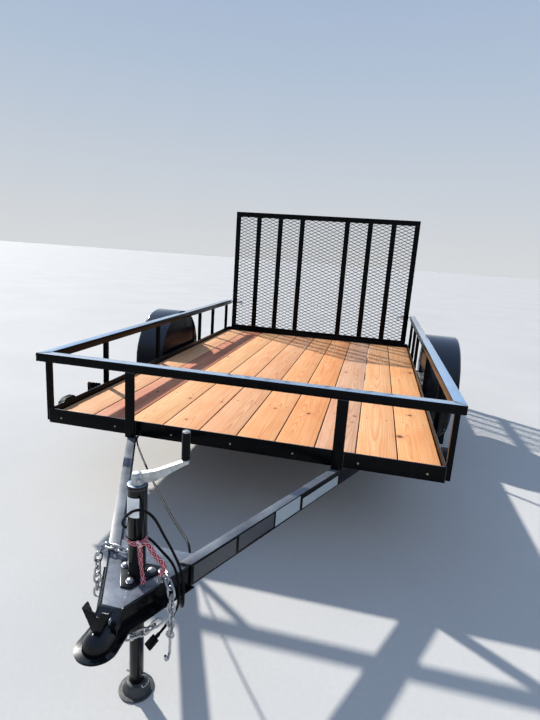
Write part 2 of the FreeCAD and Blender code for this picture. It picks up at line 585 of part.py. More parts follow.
# hinges: lugs and knuckles on the frame, a pin through them, lugs on the gate
HINGES_X = [-700.0, 0.0, 700.0]
fixed, moving = [], []
for x in HINGES_X:
    kn = tube(13.0, 5.0, (x - 30, HINGE_Y, HINGE_Z), (x + 30, HINGE_Y, HINGE_Z))
    web = box(x - 30, x + 30, FRAME_L, HINGE_Y - 8.5, HINGE_Z - 8, HINGE_Z + 8)
    kn = fuse([kn, web])
    pin = cyl(7.0, (x - 62, HINGE_Y, HINGE_Z), (x + 62, HINGE_Y, HINGE_Z))
    fixed.append(kn)
    lug = []
    for x0, x1 in ((x - 56, x - 36), (x + 36, x + 56)):
        plate = prism([(HINGE_Y - 11, HINGE_Z), (HINGE_Y - 11, gz0), (HINGE_Y + 11, gz0), (HINGE_Y + 11, HINGE_Z)], x1 - x0, "X", x0)
        rnd = cyl(11.0, (x0, HINGE_Y, HINGE_Z), (x1, HINGE_Y, HINGE_Z))
        lug.append(fuse([plate, rnd]))
    moving.append(fuse(lug + [pin]))
add("gate_knuckles", fixed)
add("gate_hinge_pins", moving)

# gate latches: a spring pin on each gate side, resting in an open keeper on the end of the rail
LATCH_H = RAIL_TOP - RAIL_H / 2
pins, keepers = [], []
for s in (-1, 1):
    ly = gy0 + 22
    body = cyl(9.0, (s * (GX - 78), ly, LATCH_H), (s * (GX - T - 0.5), ly, LATCH_H))
    base = box(s * (GX - 70), s * (GX - 20), gy0 + T, ly - 8, LATCH_H - 12, LATCH_H + 12)
    rod = cyl(6.0, (s * (GX - 10), ly, LATCH_H), (s * (GX + 32), ly, LATCH_H))
    nub = cyl(5.0, (s * (GX - 78), ly, LATCH_H), (s * (GX - 104), ly, LATCH_H))
    ring = cyl(5.0, (s * (GX - 101), ly, LATCH_H - 26), (s * (GX - 101), ly, LATCH_H))
    pins.append(fuse([body, base, rod, nub, ring]))
    # plate in the plane of the gate's travel, open towards the back
    kx = s * (GX + 22) - 3
    keeper = prism([(FRAME_L, LATCH_H - 21), (ly + 22, LATCH_H - 21), (ly + 22, LATCH_H - 12), (ly - 4, LATCH_H - 12),
                    (ly - 12, LATCH_H - 4), (ly - 12, LATCH_H + 4), (ly - 4, LATCH_H + 12), (ly + 14, LATCH_H + 12),
                    (ly + 14, LATCH_H + 21), (FRAME_L, LATCH_H + 21)], 6.0, "X", kx)
    keepers.append(keeper)
add("gate_latches", pins)
# the mesh is cut away round the latch
meshes = []
for sol in NODES["gate_mesh"]:
    for p in NODES["gate_latches"]:
        if sol.BoundBox.XMin < p.BoundBox.XMax and p.BoundBox.XMin < sol.BoundBox.XMax:
            b = p.BoundBox
            sol = sol.cut(box(b.XMin - 3, b.XMax + 3, b.YMin - 3, b.YMax + 3, b.ZMin - 3, b.ZMax + 3))
    meshes.extend(sol.Solids)
NODES["gate_mesh"] = meshes
# the latch rod goes through the gate's side angle
gate_solid = NODES["gate_frame"][0]
for sgn in (-1, 1):
    gate_solid = gate_solid.cut(cyl(6.6, (sgn * (GX - 12), gy0 + 22, LATCH_H), (sgn * (GX + 6), gy0 + 22, LATCH_H)))
NODES["gate_frame"] = gate_solid.Solids
add("latch_keepers", keepers)

# ------------------------------------------------------------------ safety chains
LINK_IN = 27.0          # inside length
LINK_GAP_W = 13.0       # inside width
LINK_R = 3.3            # half the wire


def make_link():
    """One welded link lying along X, as wide as it is along Y."""
    rr = LINK_GAP_W / 2 + LINK_R
    hl = LINK_IN / 2 - LINK_GAP_W / 2
    out = [cyl(LINK_R, (-hl, rr, 0), (hl, rr, 0)), cyl(LINK_R, (-hl, -rr, 0), (hl, -rr, 0))]
    for sgn in (-1, 1):
        ring = Part.Face(Part.Wire(Part.Circle(V(sgn * hl, sgn * rr, 0), V(1, 0, 0), LINK_R).toShape()))
        out.append(ring.revolve(V(sgn * hl, 0, 0), V(0, 0, 1), -180))
    return fuse(out)


LINK = make_link()


def chain(points, normal, pitch=LINK_IN - 2.9):
    """Links along straight runs; every other link is a quarter turn round from the one before."""
    pts = [V(*p) for p in points]
    runs = [(a, b, b.sub(a).Length) for a, b in zip(pts[:-1], pts[1:])]
    total = sum(r[2] for r in runs)

    def at(d):
        d = max(0.0, min(total, d))
        for a, b, ln in runs:
            if d <= ln or b is runs[-1][1]:
                return a + (b - a) * (d / ln)
            d -= ln
    out = []
    n = int(total / pitch)
    for k in range(n + 1):
        c = at(k * pitch)
        u = at(k * pitch + pitch / 2).sub(at(k * pitch - pitch / 2))
        if u.Length < 1e-6:
            continue
        u.normalize()
        w = V(*normal)
        w = w - u * w.dot(u)
        w.normalize()
        if k % 2:
            w = u.cross(w)
        z = u.cross(w)
        m = FreeCAD.Matrix(u.x, w.x, z.x, c.x, u.y, w.y, z.y, c.y, u.z, w.z, z.z, c.z, 0, 0, 0, 1)
        out.append(LINK.copy().transformGeometry(m))
    return out


CHAIN_Z = T_TOP + LINK_GAP_W / 2 + LINK_R * 2 + 0.6
# over the right arm and down its outer side
CHAIN_OVER = [(-52, -872, CHAIN_Z - 5), (-78, -868, CHAIN_Z - 1), (-112, -862, CHAIN_Z), (-134, -860, CHAIN_Z - 1), (-150, -859, CHAIN_Z - 9), (-161, -860, CHAIN_Z - 25),
              (-167, -862, CHAIN_Z - 46), (-169, -866, 330.0), (-168, -870, 258.0)]
# over the coupler's left edge, down to the hook
CHAIN_SIDE = [(80, -921, 427.2), (95, -936, 427.4), (108, -949, 424.5), (118, -959, 416), (124, -965, 403), (127, -968, 387), (127, -968, 283)]
# slung under the coupler from side to side
CHAIN_UNDER = [(94, -990, 316), (76, -996, 299), (50, -1003, 282), (20, -1009, 266), (-12, -1008, 256), (-44, -999, 256), (-74, -982, 268), (-98, -956, 290),
               (-112, -926, 316)]
side_links = chain(CHAIN_SIDE, (0, 1, 0), LINK_IN - 3.3)
add("safety_chains", chain(CHAIN_OVER, (0, 0, 1)) + side_links + chain(CHAIN_UNDER, (0, 0, 1)))

# hook at the end of the left chain: an eye through the last link and a bent rod with an open throat
last = side_links[-1].BoundBox
HX, HY = last.Center.x, last.Center.y
HZ = last.Center.z - 18.5
eye_axis = V(1, 0, 0) if last.XLength > last.YLength else V(0, 1, 0)
rod = path_tube([(HX, HY, HZ - 10), (HX, HY, HZ - 34), (HX + 2, HY - 5, HZ - 54), (HX + 3, HY - 19, HZ - 65), (HX + 3, HY - 33, HZ - 56), (HX + 2, HY - 35, HZ - 40)], 8.0, 4.0)
add("chain_hook", fuse([rod, Part.makeTorus(10.0, 3.6, V(HX, HY, HZ), eye_axis)]))

# ------------------------------------------------------------------ wiring lead, wound once round the jack
LEAD_D = 8.0
LEAD = [
    # from the clip on the frame's face, slack across the gap between the arms
    (-470, -16.5, 430), (-463, -50, 427), (-438, -92, 421), (-400, -143, 414), (-345, -213, 406), (-283, -292, 401), (-216, -376, 398), (-146, -464, 398),
    (-80, -547, 401), (-22, -619, 406), (26, -676, 411), (64, -719, 416), (90, -751, 415),
    # down through the open back of the coupler and up again outside it
    (104, -773, 402), (110, -786, 378), (109, -799, 350), (107, -817, 327), (110, -845, 312), (120, -882, 308), (136, -914, 319), (149, -935, 342), (152, -940, 372),
    (145, -926, 399), (131, -905, 420), (114, -887, 437), (98, -879, 456),
    # up beside the jack tube, over its front and once round it
    (87, -884, 484), (80, -897, 514), (74, -915, 549), (68, -932, 585), (62, -948, 616), (52, -961, 637), (35, -971, 649), (13, -975, 645), (-10, -971, 623),
    (-31, -957, 594), (-42, -935, 565), (-44, -908, 540), (-32, -886, 520), (-8, -876, 505), (20, -877, 494), (44, -886, 483),
    # out over the arm and down beside it to the plug
    (66, -893, 471), (88, -898, 458), (107, -905, 441), (121, -914, 420), (131, -927, 393), (138, -941, 364), (133, -937, 335), (121, -935, 308), (109, -939, 286),
    (99, -950, 268), (89, -963, 256),
]


def lead_path(points):
    """Straight runs joined by arcs of 0.45 of the shorter run over the tangent of half the turn."""
    pts = [V(*p) for p in points]
    edges, cur, radii = [], pts[0], []
    for i in range(1, len(pts) - 1):
        a, b, c = pts[i - 1], pts[i], pts[i + 1]
        u, v = b.sub(a), c.sub(b)
        short = min(u.Length, v.Length)
        u.normalize()
        v.normalize()
        ang = u.getAngle(v)
        t = 0.45 * short
        rad = t / math.tan(ang / 2)
        radii.append(rad)
        p, q = b - u * t, b + v * t
        bis = v.sub(u)
        bis.normalize()
        m = b + bis * (rad / math.cos(ang / 2) - rad)
        edges.append(Part.LineSegment(cur, p).toShape())
        edges.append(Part.Arc(p, m, q).toShape())
        cur = q
    edges.append(Part.LineSegment(cur, pts[-1]).toShape())
    return Part.Wire(edges), radii


wire, radii = lead_path(LEAD)
runs = [V(*b).sub(V(*a)).Length for a, b in zip(LEAD[:-1], LEAD[1:])]
prof = Part.Wire(Part.Circle(V(*LEAD[0]), V(*LEAD[1]).sub(V(*LEAD[0])), LEAD_D / 2).toShape())
lead = wire.makePipeShell([prof], True, True)
print("lead length", round(wire.Length, 1), "volume", round(lead.Volume), "section x length", round(math.pi * (LEAD_D / 2) ** 2 * wire.Length),
      "radii min", round(min(radii), 1), "runs", round(min(runs), 1), round(max(runs), 1))
print("radii", [round(r) for r in radii])
add("wiring_lead", lead)
# moulded flat plug at the lead's end, four contacts in a row
e0, e1 = V(*LEAD[-2]), V(*LEAD[-1])
d = e1.sub(e0)
d.normalize()
plug = Part.makeBox(26, 34, 9, V(-13, 0, -4.5))
boot = Part.makeCylinder(5.6, 12, V(0, -12, 0), V(0, 1, 0))
plug = fuse([plug, boot.cut(Part.makeBox(40, 40, 40, V(-20, 0, -20)))])
yv = d
xv = V(0, 0, 1).cross(yv)
xv.normalize()
zv = xv.cross(yv)
m = FreeCAD.Matrix(xv.x, yv.x, zv.x, e1.x + d.x * 12, xv.y, yv.y, zv.y, e1.y + d.y * 12, xv.z, yv.z, zv.z, e1.z + d.z * 12, 0, 0, 0, 1)
plug = plug.copy()
plug.Placement = FreeCAD.Placement(m)
add("lead_plug", plug)
# ------------------------------------------------------------------ cloth ribbon tied round the step of the jack tube
RIB_Z = JACK_STEP - 10
band = tube(JACK_R_LOW + 3.2, 2.7, (0, JACK_Y, RIB_Z - 10), (0, JACK_Y, RIB_Z + 8))


def strip(points, wide, thick=2.4):
    """Flat strip that hangs along points (x, z) at its own y, bent at each point."""
    out = []
    for (x0, y0, z0), (x1, y1, z1) in zip(points[:-1], points[1:]):
        a, b = V(x0, y0, z0), V(x1, y1, z1)
        u = b.sub(a)
        w = V(1, 0, 0) - u * (u.x / u.Length ** 2)
        w.normalize()
        n = V(u.x, u.y, u.z)
        n.normalize()
        n = n.cross(w)
        pts = [a + w * (wide / 2) + n * (thick / 2), a - w * (wide / 2) + n * (thick / 2), a - w * (wide / 2) - n * (thick / 2), a + w * (wide / 2) - n * (thick / 2)]
        f = Part.Face(Part.makePolygon(pts + [pts[0]]))
        out.append(f.extrude(u + u * (0.8 / u.Length)))
    return out


TAIL_A = [(22, JACK_Y - 29, RIB_Z - 2), (27, JACK_Y - 30, RIB_Z - 36), (31, JACK_Y - 31, RIB_Z - 73), (37, JACK_Y - 34, RIB_Z - 101), (48, JACK_Y - 52, RIB_Z - 109.5)]
TAIL_B = [(27, JACK_Y - 23, RIB_Z), (47, JACK_Y - 24, RIB_Z + 7), (67, JACK_Y - 23, RIB_Z - 29), (92, JACK_Y - 17, RIB_Z - 59), (83, JACK_Y - 23, RIB_Z - 95)]
knot = Part.makeBox(18, 20, 15, V(12, JACK_Y - 34, RIB_Z - 8)).cut(cyl(JACK_R_LOW + 0.5, (0, JACK_Y, RIB_Z - 30), (0, JACK_Y, RIB_Z + 30)))
add("tie_ribbon", fuse([band, knot] + strip(TAIL_A, 15) + strip(TAIL_B, 15)))

# ------------------------------------------------------------------ lamps and plates
MARKERS = [
    # side of the trailer, middle y
    (-1, 172.0),
    (1, 172.0),
]
amber = []
for s, y in MARKERS:
    pts = [(y - 62, FRAME_TOP - 34), (y - 62, FRAME_TOP - 6), (y - 34, FRAME_TOP + 12), (y + 34, FRAME_TOP + 12),
           (y + 62, FRAME_TOP - 6), (y + 62, FRAME_TOP - 34)]
    amber.append(prism(pts, 34, "X", HALF if s > 0 else -HALF - 34))
add("marker_lamps_front", amber)
# folded rope hooks just ahead of the second posts: an upright ear with a foot on the frame side
hooks = []
for s in (-1, 1):
    y = 462.0
    ear = prism([(y - 70, FRAME_TOP - 44), (y - 70, FRAME_TOP + 32), (y - 62, FRAME_TOP + 34), (y + 66, FRAME_TOP - 8), (y + 66, FRAME_TOP - 44)],
                4, "X", HALF + 32)
    foot = box(HALF, HALF + 34, y - 70, y + 66, FRAME_TOP - 44, FRAME_TOP - 40)
    end = prism([(HALF, FRAME_TOP - 44), (HALF, FRAME_TOP - 20), (HALF + 34, FRAME_TOP + 26), (HALF + 34, FRAME_TOP - 44)], 4, "Y", y - 70)
    hk = fuse([ear, foot, end])
    hooks.append(hk if s > 0 else mirror_x(hk))
add("rope_hooks", hooks)

lamp_boxes, lenses = [], []
for s in (-1, 1):
    x0, x1 = s * 770, s * 945
    bx = box(x0, x1, FRAME_L - 62, FRAME_L - 3, FRAME_BOT - 78, FRAME_BOT)
    bx = bx.cut(box(s * 774, s * 941, FRAME_L - 58, FRAME_L, FRAME_BOT - 74, FRAME_BOT - 4))
    lamp_boxes.append(bx)
    cxm = s * 857.5
    r = 30.0
    lens = fuse([box(cxm - 50, cxm + 50, FRAME_L - 40, FRAME_L - 8, FRAME_BOT - 39 - r, FRAME_BOT - 39 + r),
                 cyl(r, (cxm - 50, FRAME_L - 40, FRAME_BOT - 39), (cxm - 50, FRAME_L - 8, FRAME_BOT - 39)),
                 cyl(r, (cxm + 50, FRAME_L - 40, FRAME_BOT - 39), (cxm + 50, FRAME_L - 8, FRAME_BOT - 39)),
                 box(cxm - 18, cxm + 18, FRAME_L - 58, FRAME_L - 40, FRAME_BOT - 57, FRAME_BOT - 21)])
    lenses.append(lens)
add("tail_lamp_boxes", lamp_boxes)
add("tail_lamps", lenses)
add("plate_holder", fuse([box(-620, -320, FRAME_L - 12, FRAME_L - 9, FRAME_BOT - 110, FRAME_BOT - 0.0),
                          box(-620, -320, FRAME_L - 30, FRAME_L - 12, FRAME_BOT - 4, FRAME_BOT)]))

# ------------------------------------------------------------------ move to the row's origin
CORD = ("wiring_lead", "lead_plug")
hard = [s for n, ss in NODES.items() if n not in CORD for s in ss]
bb = Part.makeCompound(hard).BoundBox
Y_SHIFT = round(-(bb.YMin + bb.YMax) / 2, 2)
print("Y_SHIFT", Y_SHIFT, "bbox", [round(v, 1) for v in (bb.XMin, bb.XMax, bb.YMin, bb.YMax, bb.ZMin, bb.ZMax)])
for name, solids in NODES.items():
    moved = []
    for s in solids:
        c = s.copy()
        c.translate(V(0, Y_SHIFT, 0))
        moved.append(c)
    shape = moved[0] if len(moved) == 1 else Part.makeCompound(moved)
    bad = [i for i, s in enumerate(moved) if not s.isValid() or s.Volume <= 0]
    print(name, len(moved), round(sum(s.Volume for s in moved) / 1e6, 3), "l", "INVALID %s" % bad if bad else "")
    shape.exportStep("parts/%s.step" % name)
print("nodes", len(NODES))
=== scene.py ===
import json
import math
import random

import bmesh
import bpy
from mathutils import Matrix, Vector


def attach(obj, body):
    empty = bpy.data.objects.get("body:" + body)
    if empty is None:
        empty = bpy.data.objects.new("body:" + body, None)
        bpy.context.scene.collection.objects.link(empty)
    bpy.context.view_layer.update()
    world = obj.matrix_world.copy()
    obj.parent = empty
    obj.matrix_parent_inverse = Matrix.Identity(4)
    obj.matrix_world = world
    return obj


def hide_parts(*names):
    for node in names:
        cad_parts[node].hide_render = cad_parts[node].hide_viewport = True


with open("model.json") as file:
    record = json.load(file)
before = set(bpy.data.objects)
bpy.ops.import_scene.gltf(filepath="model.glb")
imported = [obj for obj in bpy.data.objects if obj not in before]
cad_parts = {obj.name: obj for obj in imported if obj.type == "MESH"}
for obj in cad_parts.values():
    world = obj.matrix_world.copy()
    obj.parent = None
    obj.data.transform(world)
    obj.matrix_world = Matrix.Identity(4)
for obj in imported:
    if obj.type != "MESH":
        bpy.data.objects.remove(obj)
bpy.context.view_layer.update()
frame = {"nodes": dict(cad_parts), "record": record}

YS = -969.5      # the drawing's Y = 0, the front face of the deck frame, lies here in the row's frame
rnd = random.Random(41)


def W(x, y, z):
    """Drawing millimetres to the row's metres."""
    return Vector((x * 0.001, (y + YS) * 0.001, z * 0.001))


scene = bpy.context.scene

# ------------------------------------------------------------------ camera
CAM = (592.2, -2063.9, 1364.5)
PITCH, YAW, ROLL, FOCAL = -0.225564, -0.205290, 0.067672, 480.456
fwd = Vector((math.sin(YAW) * math.cos(PITCH), math.cos(YAW) * math.cos(PITCH), math.sin(PITCH)))
right0 = Vector((math.cos(YAW), -math.sin(YAW), 0))
up0 = right0.cross(fwd)
right = right0 * math.cos(ROLL) + up0 * math.sin(ROLL)
up = up0 * math.cos(ROLL) - right0 * math.sin(ROLL)
cam_data = bpy.data.cameras.new("view")
cam_data.sensor_width = 36.0
cam_data.sensor_fit = "AUTO"
cam_data.lens = FOCAL / 720.0 * 36.0
cam_data.clip_start, cam_data.clip_end = 0.05, 200
cam = bpy.data.objects.new("view", cam_data)
scene.collection.objects.link(cam)
rot = Matrix((right, up, -fwd)).transposed().to_4x4()
cam.matrix_world = Matrix.Translation(W(*CAM)) @ rot
scene.camera = cam


# ------------------------------------------------------------------ node helpers
class Mat:
    """A material with short calls for its nodes."""

    def __init__(self, name):
        self.m = bpy.data.materials.new(name)
        self.m.use_nodes = True
        self.t = self.m.node_tree
        self.b = self.t.nodes["Principled BSDF"]
        self.pos = self.n("ShaderNodeTexCoord").outputs["Object"]

    def n(self, kind, **props):
        node = self.t.nodes.new(kind)
        for k, v in props.items():
            setattr(node, k, v)
        return node

    def put(self, socket, value):
        if isinstance(value, bpy.types.NodeSocket):
            self.t.links.new(value, socket)
        else:
            socket.default_value = value

    def math(self, op, a, b=None, c=None, clamp=False):
        node = self.n("ShaderNodeMath", operation=op, use_clamp=clamp)
        for i, v in enumerate((a, b, c)):
            if v is not None:
                self.put(node.inputs[i], v)
        return node.outputs[0]

    def vec(self, op, a, b=None):
        node = self.n("ShaderNodeVectorMath", operation=op)
        self.put(node.inputs[0], a)
        if b is not None:
            self.put(node.inputs[1], b)
        return node.outputs[0] if op not in ("LENGTH", "DISTANCE", "DOT_PRODUCT") else node.outputs["Value"]

    def scaled(self, v, s):
        return self.vec("MULTIPLY", v, s if isinstance(s, tuple) else (s, s, s))

    def noise(self, v, scale, detail=4.0, rough=0.55, distortion=0.0):
        node = self.n("ShaderNodeTexNoise")
        self.put(node.inputs["Vector"], v)
        node.inputs["Scale"].default_value = scale
        node.inputs["Detail"].default_value = detail
        node.inputs["Roughness"].default_value = rough
        node.inputs["Distortion"].default_value = distortion
        return node.outputs[0]

    def voronoi(self, v, scale, feature="F1", randomness=1.0, out="Distance"):
        node = self.n("ShaderNodeTexVoronoi", feature=feature)
        self.put(node.inputs["Vector"], v)
        node.inputs["Scale"].default_value = scale
        node.inputs["Randomness"].default_value = randomness
        return node.outputs[out]

    def ramp(self, fac, stops, interpolation="LINEAR"):
        node = self.n("ShaderNodeValToRGB")
        node.color_ramp.interpolation = interpolation
        els = node.color_ramp.elements
        while len(els) < len(stops):
            els.new(0.5)
        for e, (p, c) in zip(els, stops):
            e.position = p
            e.color = (c, c, c, 1) if isinstance(c, (int, float)) else (*c, 1)
        self.put(node.inputs[0], fac)
        return node.outputs[0]

    def remap(self, v, a, b, c=0.0, d=1.0):
        node = self.n("ShaderNodeMapRange")
        self.put(node.inputs[0], v)
        for i, x in enumerate((a, b, c, d)):
            self.put(node.inputs[1 + i], x)
        return node.outputs[0]

    def mix(self, fac, a, b, blend="MIX"):
        node = self.n("ShaderNodeMix", data_type="RGBA", blend_type=blend)
        self.put(node.inputs[0], fac)
        for s, v in ((node.inputs[6], a), (node.inputs[7], b)):
            self.put(s, (*v, 1) if isinstance(v, tuple) and len(v) == 3 else v)
        return node.outputs[2]

    def split(self, v):
        node = self.n("ShaderNodeSeparateXYZ")
        self.put(node.inputs[0], v)
        return node.outputs

    def join(self, x, y, z):
        node = self.n("ShaderNodeCombineXYZ")
        for s, v in zip(node.inputs, (x, y, z)):
            self.put(s, v)
        return node.outputs[0]

    def up(self):
        return self.split(self.n("ShaderNodeNewGeometry").outputs["Normal"])[2]

    def bump(self, height, strength, distance=0.001, normal=None):
        node = self.n("ShaderNodeBump")
        node.inputs["Strength"].default_value = strength
        node.inputs["Distance"].default_value = distance
        self.put(node.inputs["Height"], height)
        if normal is not None:
            self.put(node.inputs["Normal"], normal)
        return node.outputs[0]

    def set(self, **kw):
        names = {"color": "Base Color", "rough": "Roughness", "metal": "Metallic", "coat": "Coat Weight", "coat_rough": "Coat Roughness",
                 "normal": "Normal", "spec": "Specular IOR Level", "ior": "IOR", "trans": "Transmission Weight", "sss": "Subsurface Weight",
                 "sheen": "Sheen Weight", "coat_normal": "Coat Normal"}
        for k, v in kw.items():
            if isinstance(v, tuple) and len(v) == 3:
                v = (*v, 1)
            self.put(self.b.inputs[names[k]], v)
        return self.m


def enamel(name, rough=0.16, dust=0.22, tint=(0.0022, 0.0024, 0.0030), ripple=0.35, speckle=0.0, dust_and_sky_col=(0.10, 0.13, 0.18), top_coat=1.0, side_spec=0.06, zone=None, even=0.35, top_spec=0.6):
    """Gloss black paint on steel: slight ripple, fine peel, and a pale film on what faces up that is partly dust and
    partly painted sky reflection.
    """
    m = Mat(name)
    up_face = m.remap(m.up(), 0.25, 0.95)
    cloud = m.noise(m.pos, 5.5, 6, 0.62)
    fine = m.noise(m.pos, 160, 3, 0.6)
    grit = m.voronoi(m.pos, 420)
    # painted sky reflection: faces that look up get a pale bluish film, part dust and part painted reflection of the
    # sky; dust sets how strong it is
    dust_and_sky = m.math("MULTIPLY", up_face, m.remap(cloud, 0.34, 0.66, even, 1.0))
    dust_and_sky = m.math("MULTIPLY", dust_and_sky, m.remap(fine, 0.3, 0.75, 0.75, 1.0))
    dust_and_sky = m.math("MULTIPLY", dust_and_sky, dust)
    if zone:
        # the pale top film of dust and painted sky reflection lies only above one height and behind one line across
        _, py, pz = m.split(m.pos)
        dust_and_sky = m.math("MULTIPLY", dust_and_sky, m.math("MULTIPLY", m.remap(pz, zone[0], zone[0] + 0.001), m.remap(py, zone[1], zone[1] + 0.004)))
    specks = m.math("MULTIPLY", m.remap(grit, 0.16, 0.05), m.remap(m.noise(m.pos, 14, 2), 0.5, 0.68))
    specks = m.math("MULTIPLY", specks, m.remap(m.up(), 0.0, 0.9, 0.04, 0.40 + speckle))
    col = m.mix(dust_and_sky, tint, dust_and_sky_col)
    col = m.mix(specks, col, (0.30, 0.29, 0.27))
    streak = m.noise(m.scaled(m.pos, (34, 34, 3.0)), 1.0, 3, 0.5)
    col = m.mix(m.remap(streak, 0.58, 0.82, 0.0, 0.03), col, (0.16, 0.15, 0.14))
    smear = m.noise(m.scaled(m.pos, (3, 1.1, 5)), 3.0, 5, 0.7)
    r = m.math("ADD", m.remap(smear, 0.3, 0.75, rough, rough + 0.14), m.math("MULTIPLY", dust_and_sky, 0.25), clamp=True)
    wave = m.noise(m.pos, 11, 2, 0.5)
    peel = m.noise(m.pos, 620, 2, 0.5)
    nb = m.bump(wave, ripple, 0.0022)
    nb = m.bump(peel, 0.10, 0.0004, nb)
    m.b.inputs["Coat IOR"].default_value = 1.7
    return m.set(color=col, rough=r, normal=nb, coat=m.math("MULTIPLY", up_face, top_coat), coat_rough=0.10, spec=m.remap(m.up(), 0.1, 0.8, side_spec, top_spec))


def zinc(name, tint=(0.62, 0.63, 0.65), rough=0.34, metal=1.0, grime=0.35):
    """Plated steel: pale, a little mottled, with darker grimy patches."""
    m = Mat(name)
    mottled = m.noise(m.pos, 70, 5, 0.6)
    span = m.voronoi(m.pos, 240)
    big = m.noise(m.pos, 17, 4, 0.6)
    col = m.mix(m.remap(mottled, 0.35, 0.7), tint, tuple(c * 0.62 for c in tint))
    col = m.mix(m.remap(big, 0.5, 0.75, 0.0, grime), col, (0.20, 0.185, 0.16))
    r = m.math("ADD", m.remap(span, 0.0, 0.8, rough - 0.08, rough + 0.14), m.remap(big, 0.45, 0.8, 0.0, 0.2), clamp=True)
    nb = m.bump(m.noise(m.pos, 300, 3), 0.12, 0.0006)
    return m.set(color=col, rough=r, metal=metal, normal=nb)


def rubber(name, tint=(0.018, 0.018, 0.019), dust=0.35, rough=0.72):
    m = Mat(name)
    cloud = m.noise(m.pos, 16, 6, 0.65)
    fine = m.noise(m.pos, 900, 2)
    col = m.mix(m.remap(cloud, 0.42, 0.78, 0.0, dust), tint, (0.15, 0.135, 0.115))
    r = m.remap(cloud, 0.3, 0.7, rough - 0.12, rough + 0.1)
    return m.set(color=col, rough=r, normal=m.bump(fine, 0.25, 0.0004), spec=0.4)


def plastic(name, tint, rough=0.35, scale=300):
    m = Mat(name)
    v = m.noise(m.pos, 26, 4)
    col = m.mix(m.remap(v, 0.3, 0.8, 0.0, 0.3), tint, tuple(min(1, c * 1.5 + 0.02) for c in tint))
    return m.set(color=col, rough=m.remap(v, 0.3, 0.7, rough - 0.06, rough + 0.12), normal=m.bump(m.noise(m.pos, scale, 2), 0.15, 0.0005))


def lens(name, tint, glow=0.0):
    """Moulded lens: deep colour over a lattice of small prisms."""
    m = Mat(name)
    x, y, z = m.split(m.pos)
    cell = m.math("MULTIPLY", m.math("ABSOLUTE", m.math("SINE", m.math("MULTIPLY", m.math("ADD", x, y), 900))),
                  m.math("ABSOLUTE", m.math("SINE", m.math("MULTIPLY", z, 900))))
    col = m.mix(m.remap(cell, 0.1, 0.9), tuple(c * 0.45 for c in tint), tint)
    return m.set(color=col, rough=m.remap(m.noise(m.pos, 40, 3), 0.3, 0.7, 0.06, 0.2), normal=m.bump(cell, 0.5, 0.0008), coat=0.6, coat_rough=0.05)


# the top colour given to each enamel below is partly dust and partly painted sky reflection
M_BLACK = enamel("enamel_black", dust=0.55)
M_BLACK_FLAT = enamel("enamel_under", rough=0.34, dust=0.3, ripple=0.15, top_coat=0.3, dust_and_sky_col=(0.06, 0.065, 0.07))
M_DRAWBAR = enamel("enamel_drawbar", rough=0.2, dust=0.92, speckle=0.2, dust_and_sky_col=(0.175, 0.20, 0.24), top_coat=0.45)
M_COUPLER = enamel("enamel_coupler", rough=0.07, ripple=0.18, top_spec=0.45, dust=0.92, speckle=0.3, dust_and_sky_col=(0.26, 0.29, 0.35), top_coat=0.45, zone=(0.4085, -2.040))
M_GLOSS = enamel("enamel_gloss", rough=0.07, dust=0.03, ripple=0.12, top_coat=0.15, side_spec=0.12, top_spec=0.4)
M_FENDER = enamel("enamel_fender", rough=0.11, dust=0.10, ripple=0.22, tint=(0.0020, 0.0036, 0.0075))
M_JACK = enamel("enamel_jack", rough=0.07, dust=0.05, ripple=0.15, top_coat=0.08, side_spec=0.24, top_spec=0.3)
# the rails' blue top colour is painted sky reflection, with a little dust
M_RAIL = enamel("enamel_rail", rough=0.14, dust=1.0, dust_and_sky_col=(0.31, 0.49, 0.72), even=0.80)
M_MESH = enamel("enamel_mesh", rough=0.3, dust=0.1, ripple=0.1, top_coat=0.2, side_spec=0.3)
M_ZINC = zinc("zinc_plate")
M_BRIGHT = zinc("zinc_bright", tint=(0.54, 0.55, 0.57), rough=0.27, grime=0.3)
M_FOOT = zinc("foot_grey", tint=(0.075, 0.078, 0.082), rough=0.5, metal=0.6, grime=0.3)
M_CAST = zinc("zinc_cast", tint=(0.58, 0.60, 0.61), rough=0.42, grime=0.25)
M_CAP = zinc("cap_grey", tint=(0.24, 0.30, 0.39), rough=0.36, grime=0.2)
M_BRASS = zinc("screw_yellow", tint=(0.46, 0.42, 0.31), rough=0.42, grime=0.3)
M_SCREW = zinc("screw_dull", tint=(0.30, 0.27, 0.22), rough=0.5, metal=0.6, grime=0.4)
M_RUBBER = rubber("tyre_rubber_m", tint=(0.012, 0.012, 0.0125), dust=0.18)
M_SHEATH = enamel("lead_sheath_m", rough=0.36, dust=0.03, tint=(0.0022, 0.0022, 0.0025), ripple=0.05, top_coat=0.0, speckle=-0.36, side_spec=0.12, top_spec=0.14)
M_GRIP = enamel("grip_black", rough=0.42, dust=0.06, speckle=-0.3, tint=(0.003, 0.003, 0.0035), ripple=0.1, top_coat=0.0)
M_LAMP = enamel("lamp_black", rough=0.40, dust=0.04, ripple=0.1, top_coat=0.0, speckle=-0.3, side_spec=0.05, top_spec=0.06)
M_AMBER = lens("lens_amber", (0.85, 0.28, 0.02))
M_RED = lens("lens_red", (0.55, 0.012, 0.015))
M_LABEL = plastic("blank_label", (0.72, 0.73, 0.74), 0.3)
M_PALE = plastic("blank_pale", (0.30, 0.345, 0.375), 0.34)
M_GREY = plastic("blank_grey", (0.040, 0.043, 0.050), 0.36)
M_WELD = zinc("weld_paint", tint=(0.022, 0.023, 0.026), rough=0.4, metal=0.0, grime=0.05)


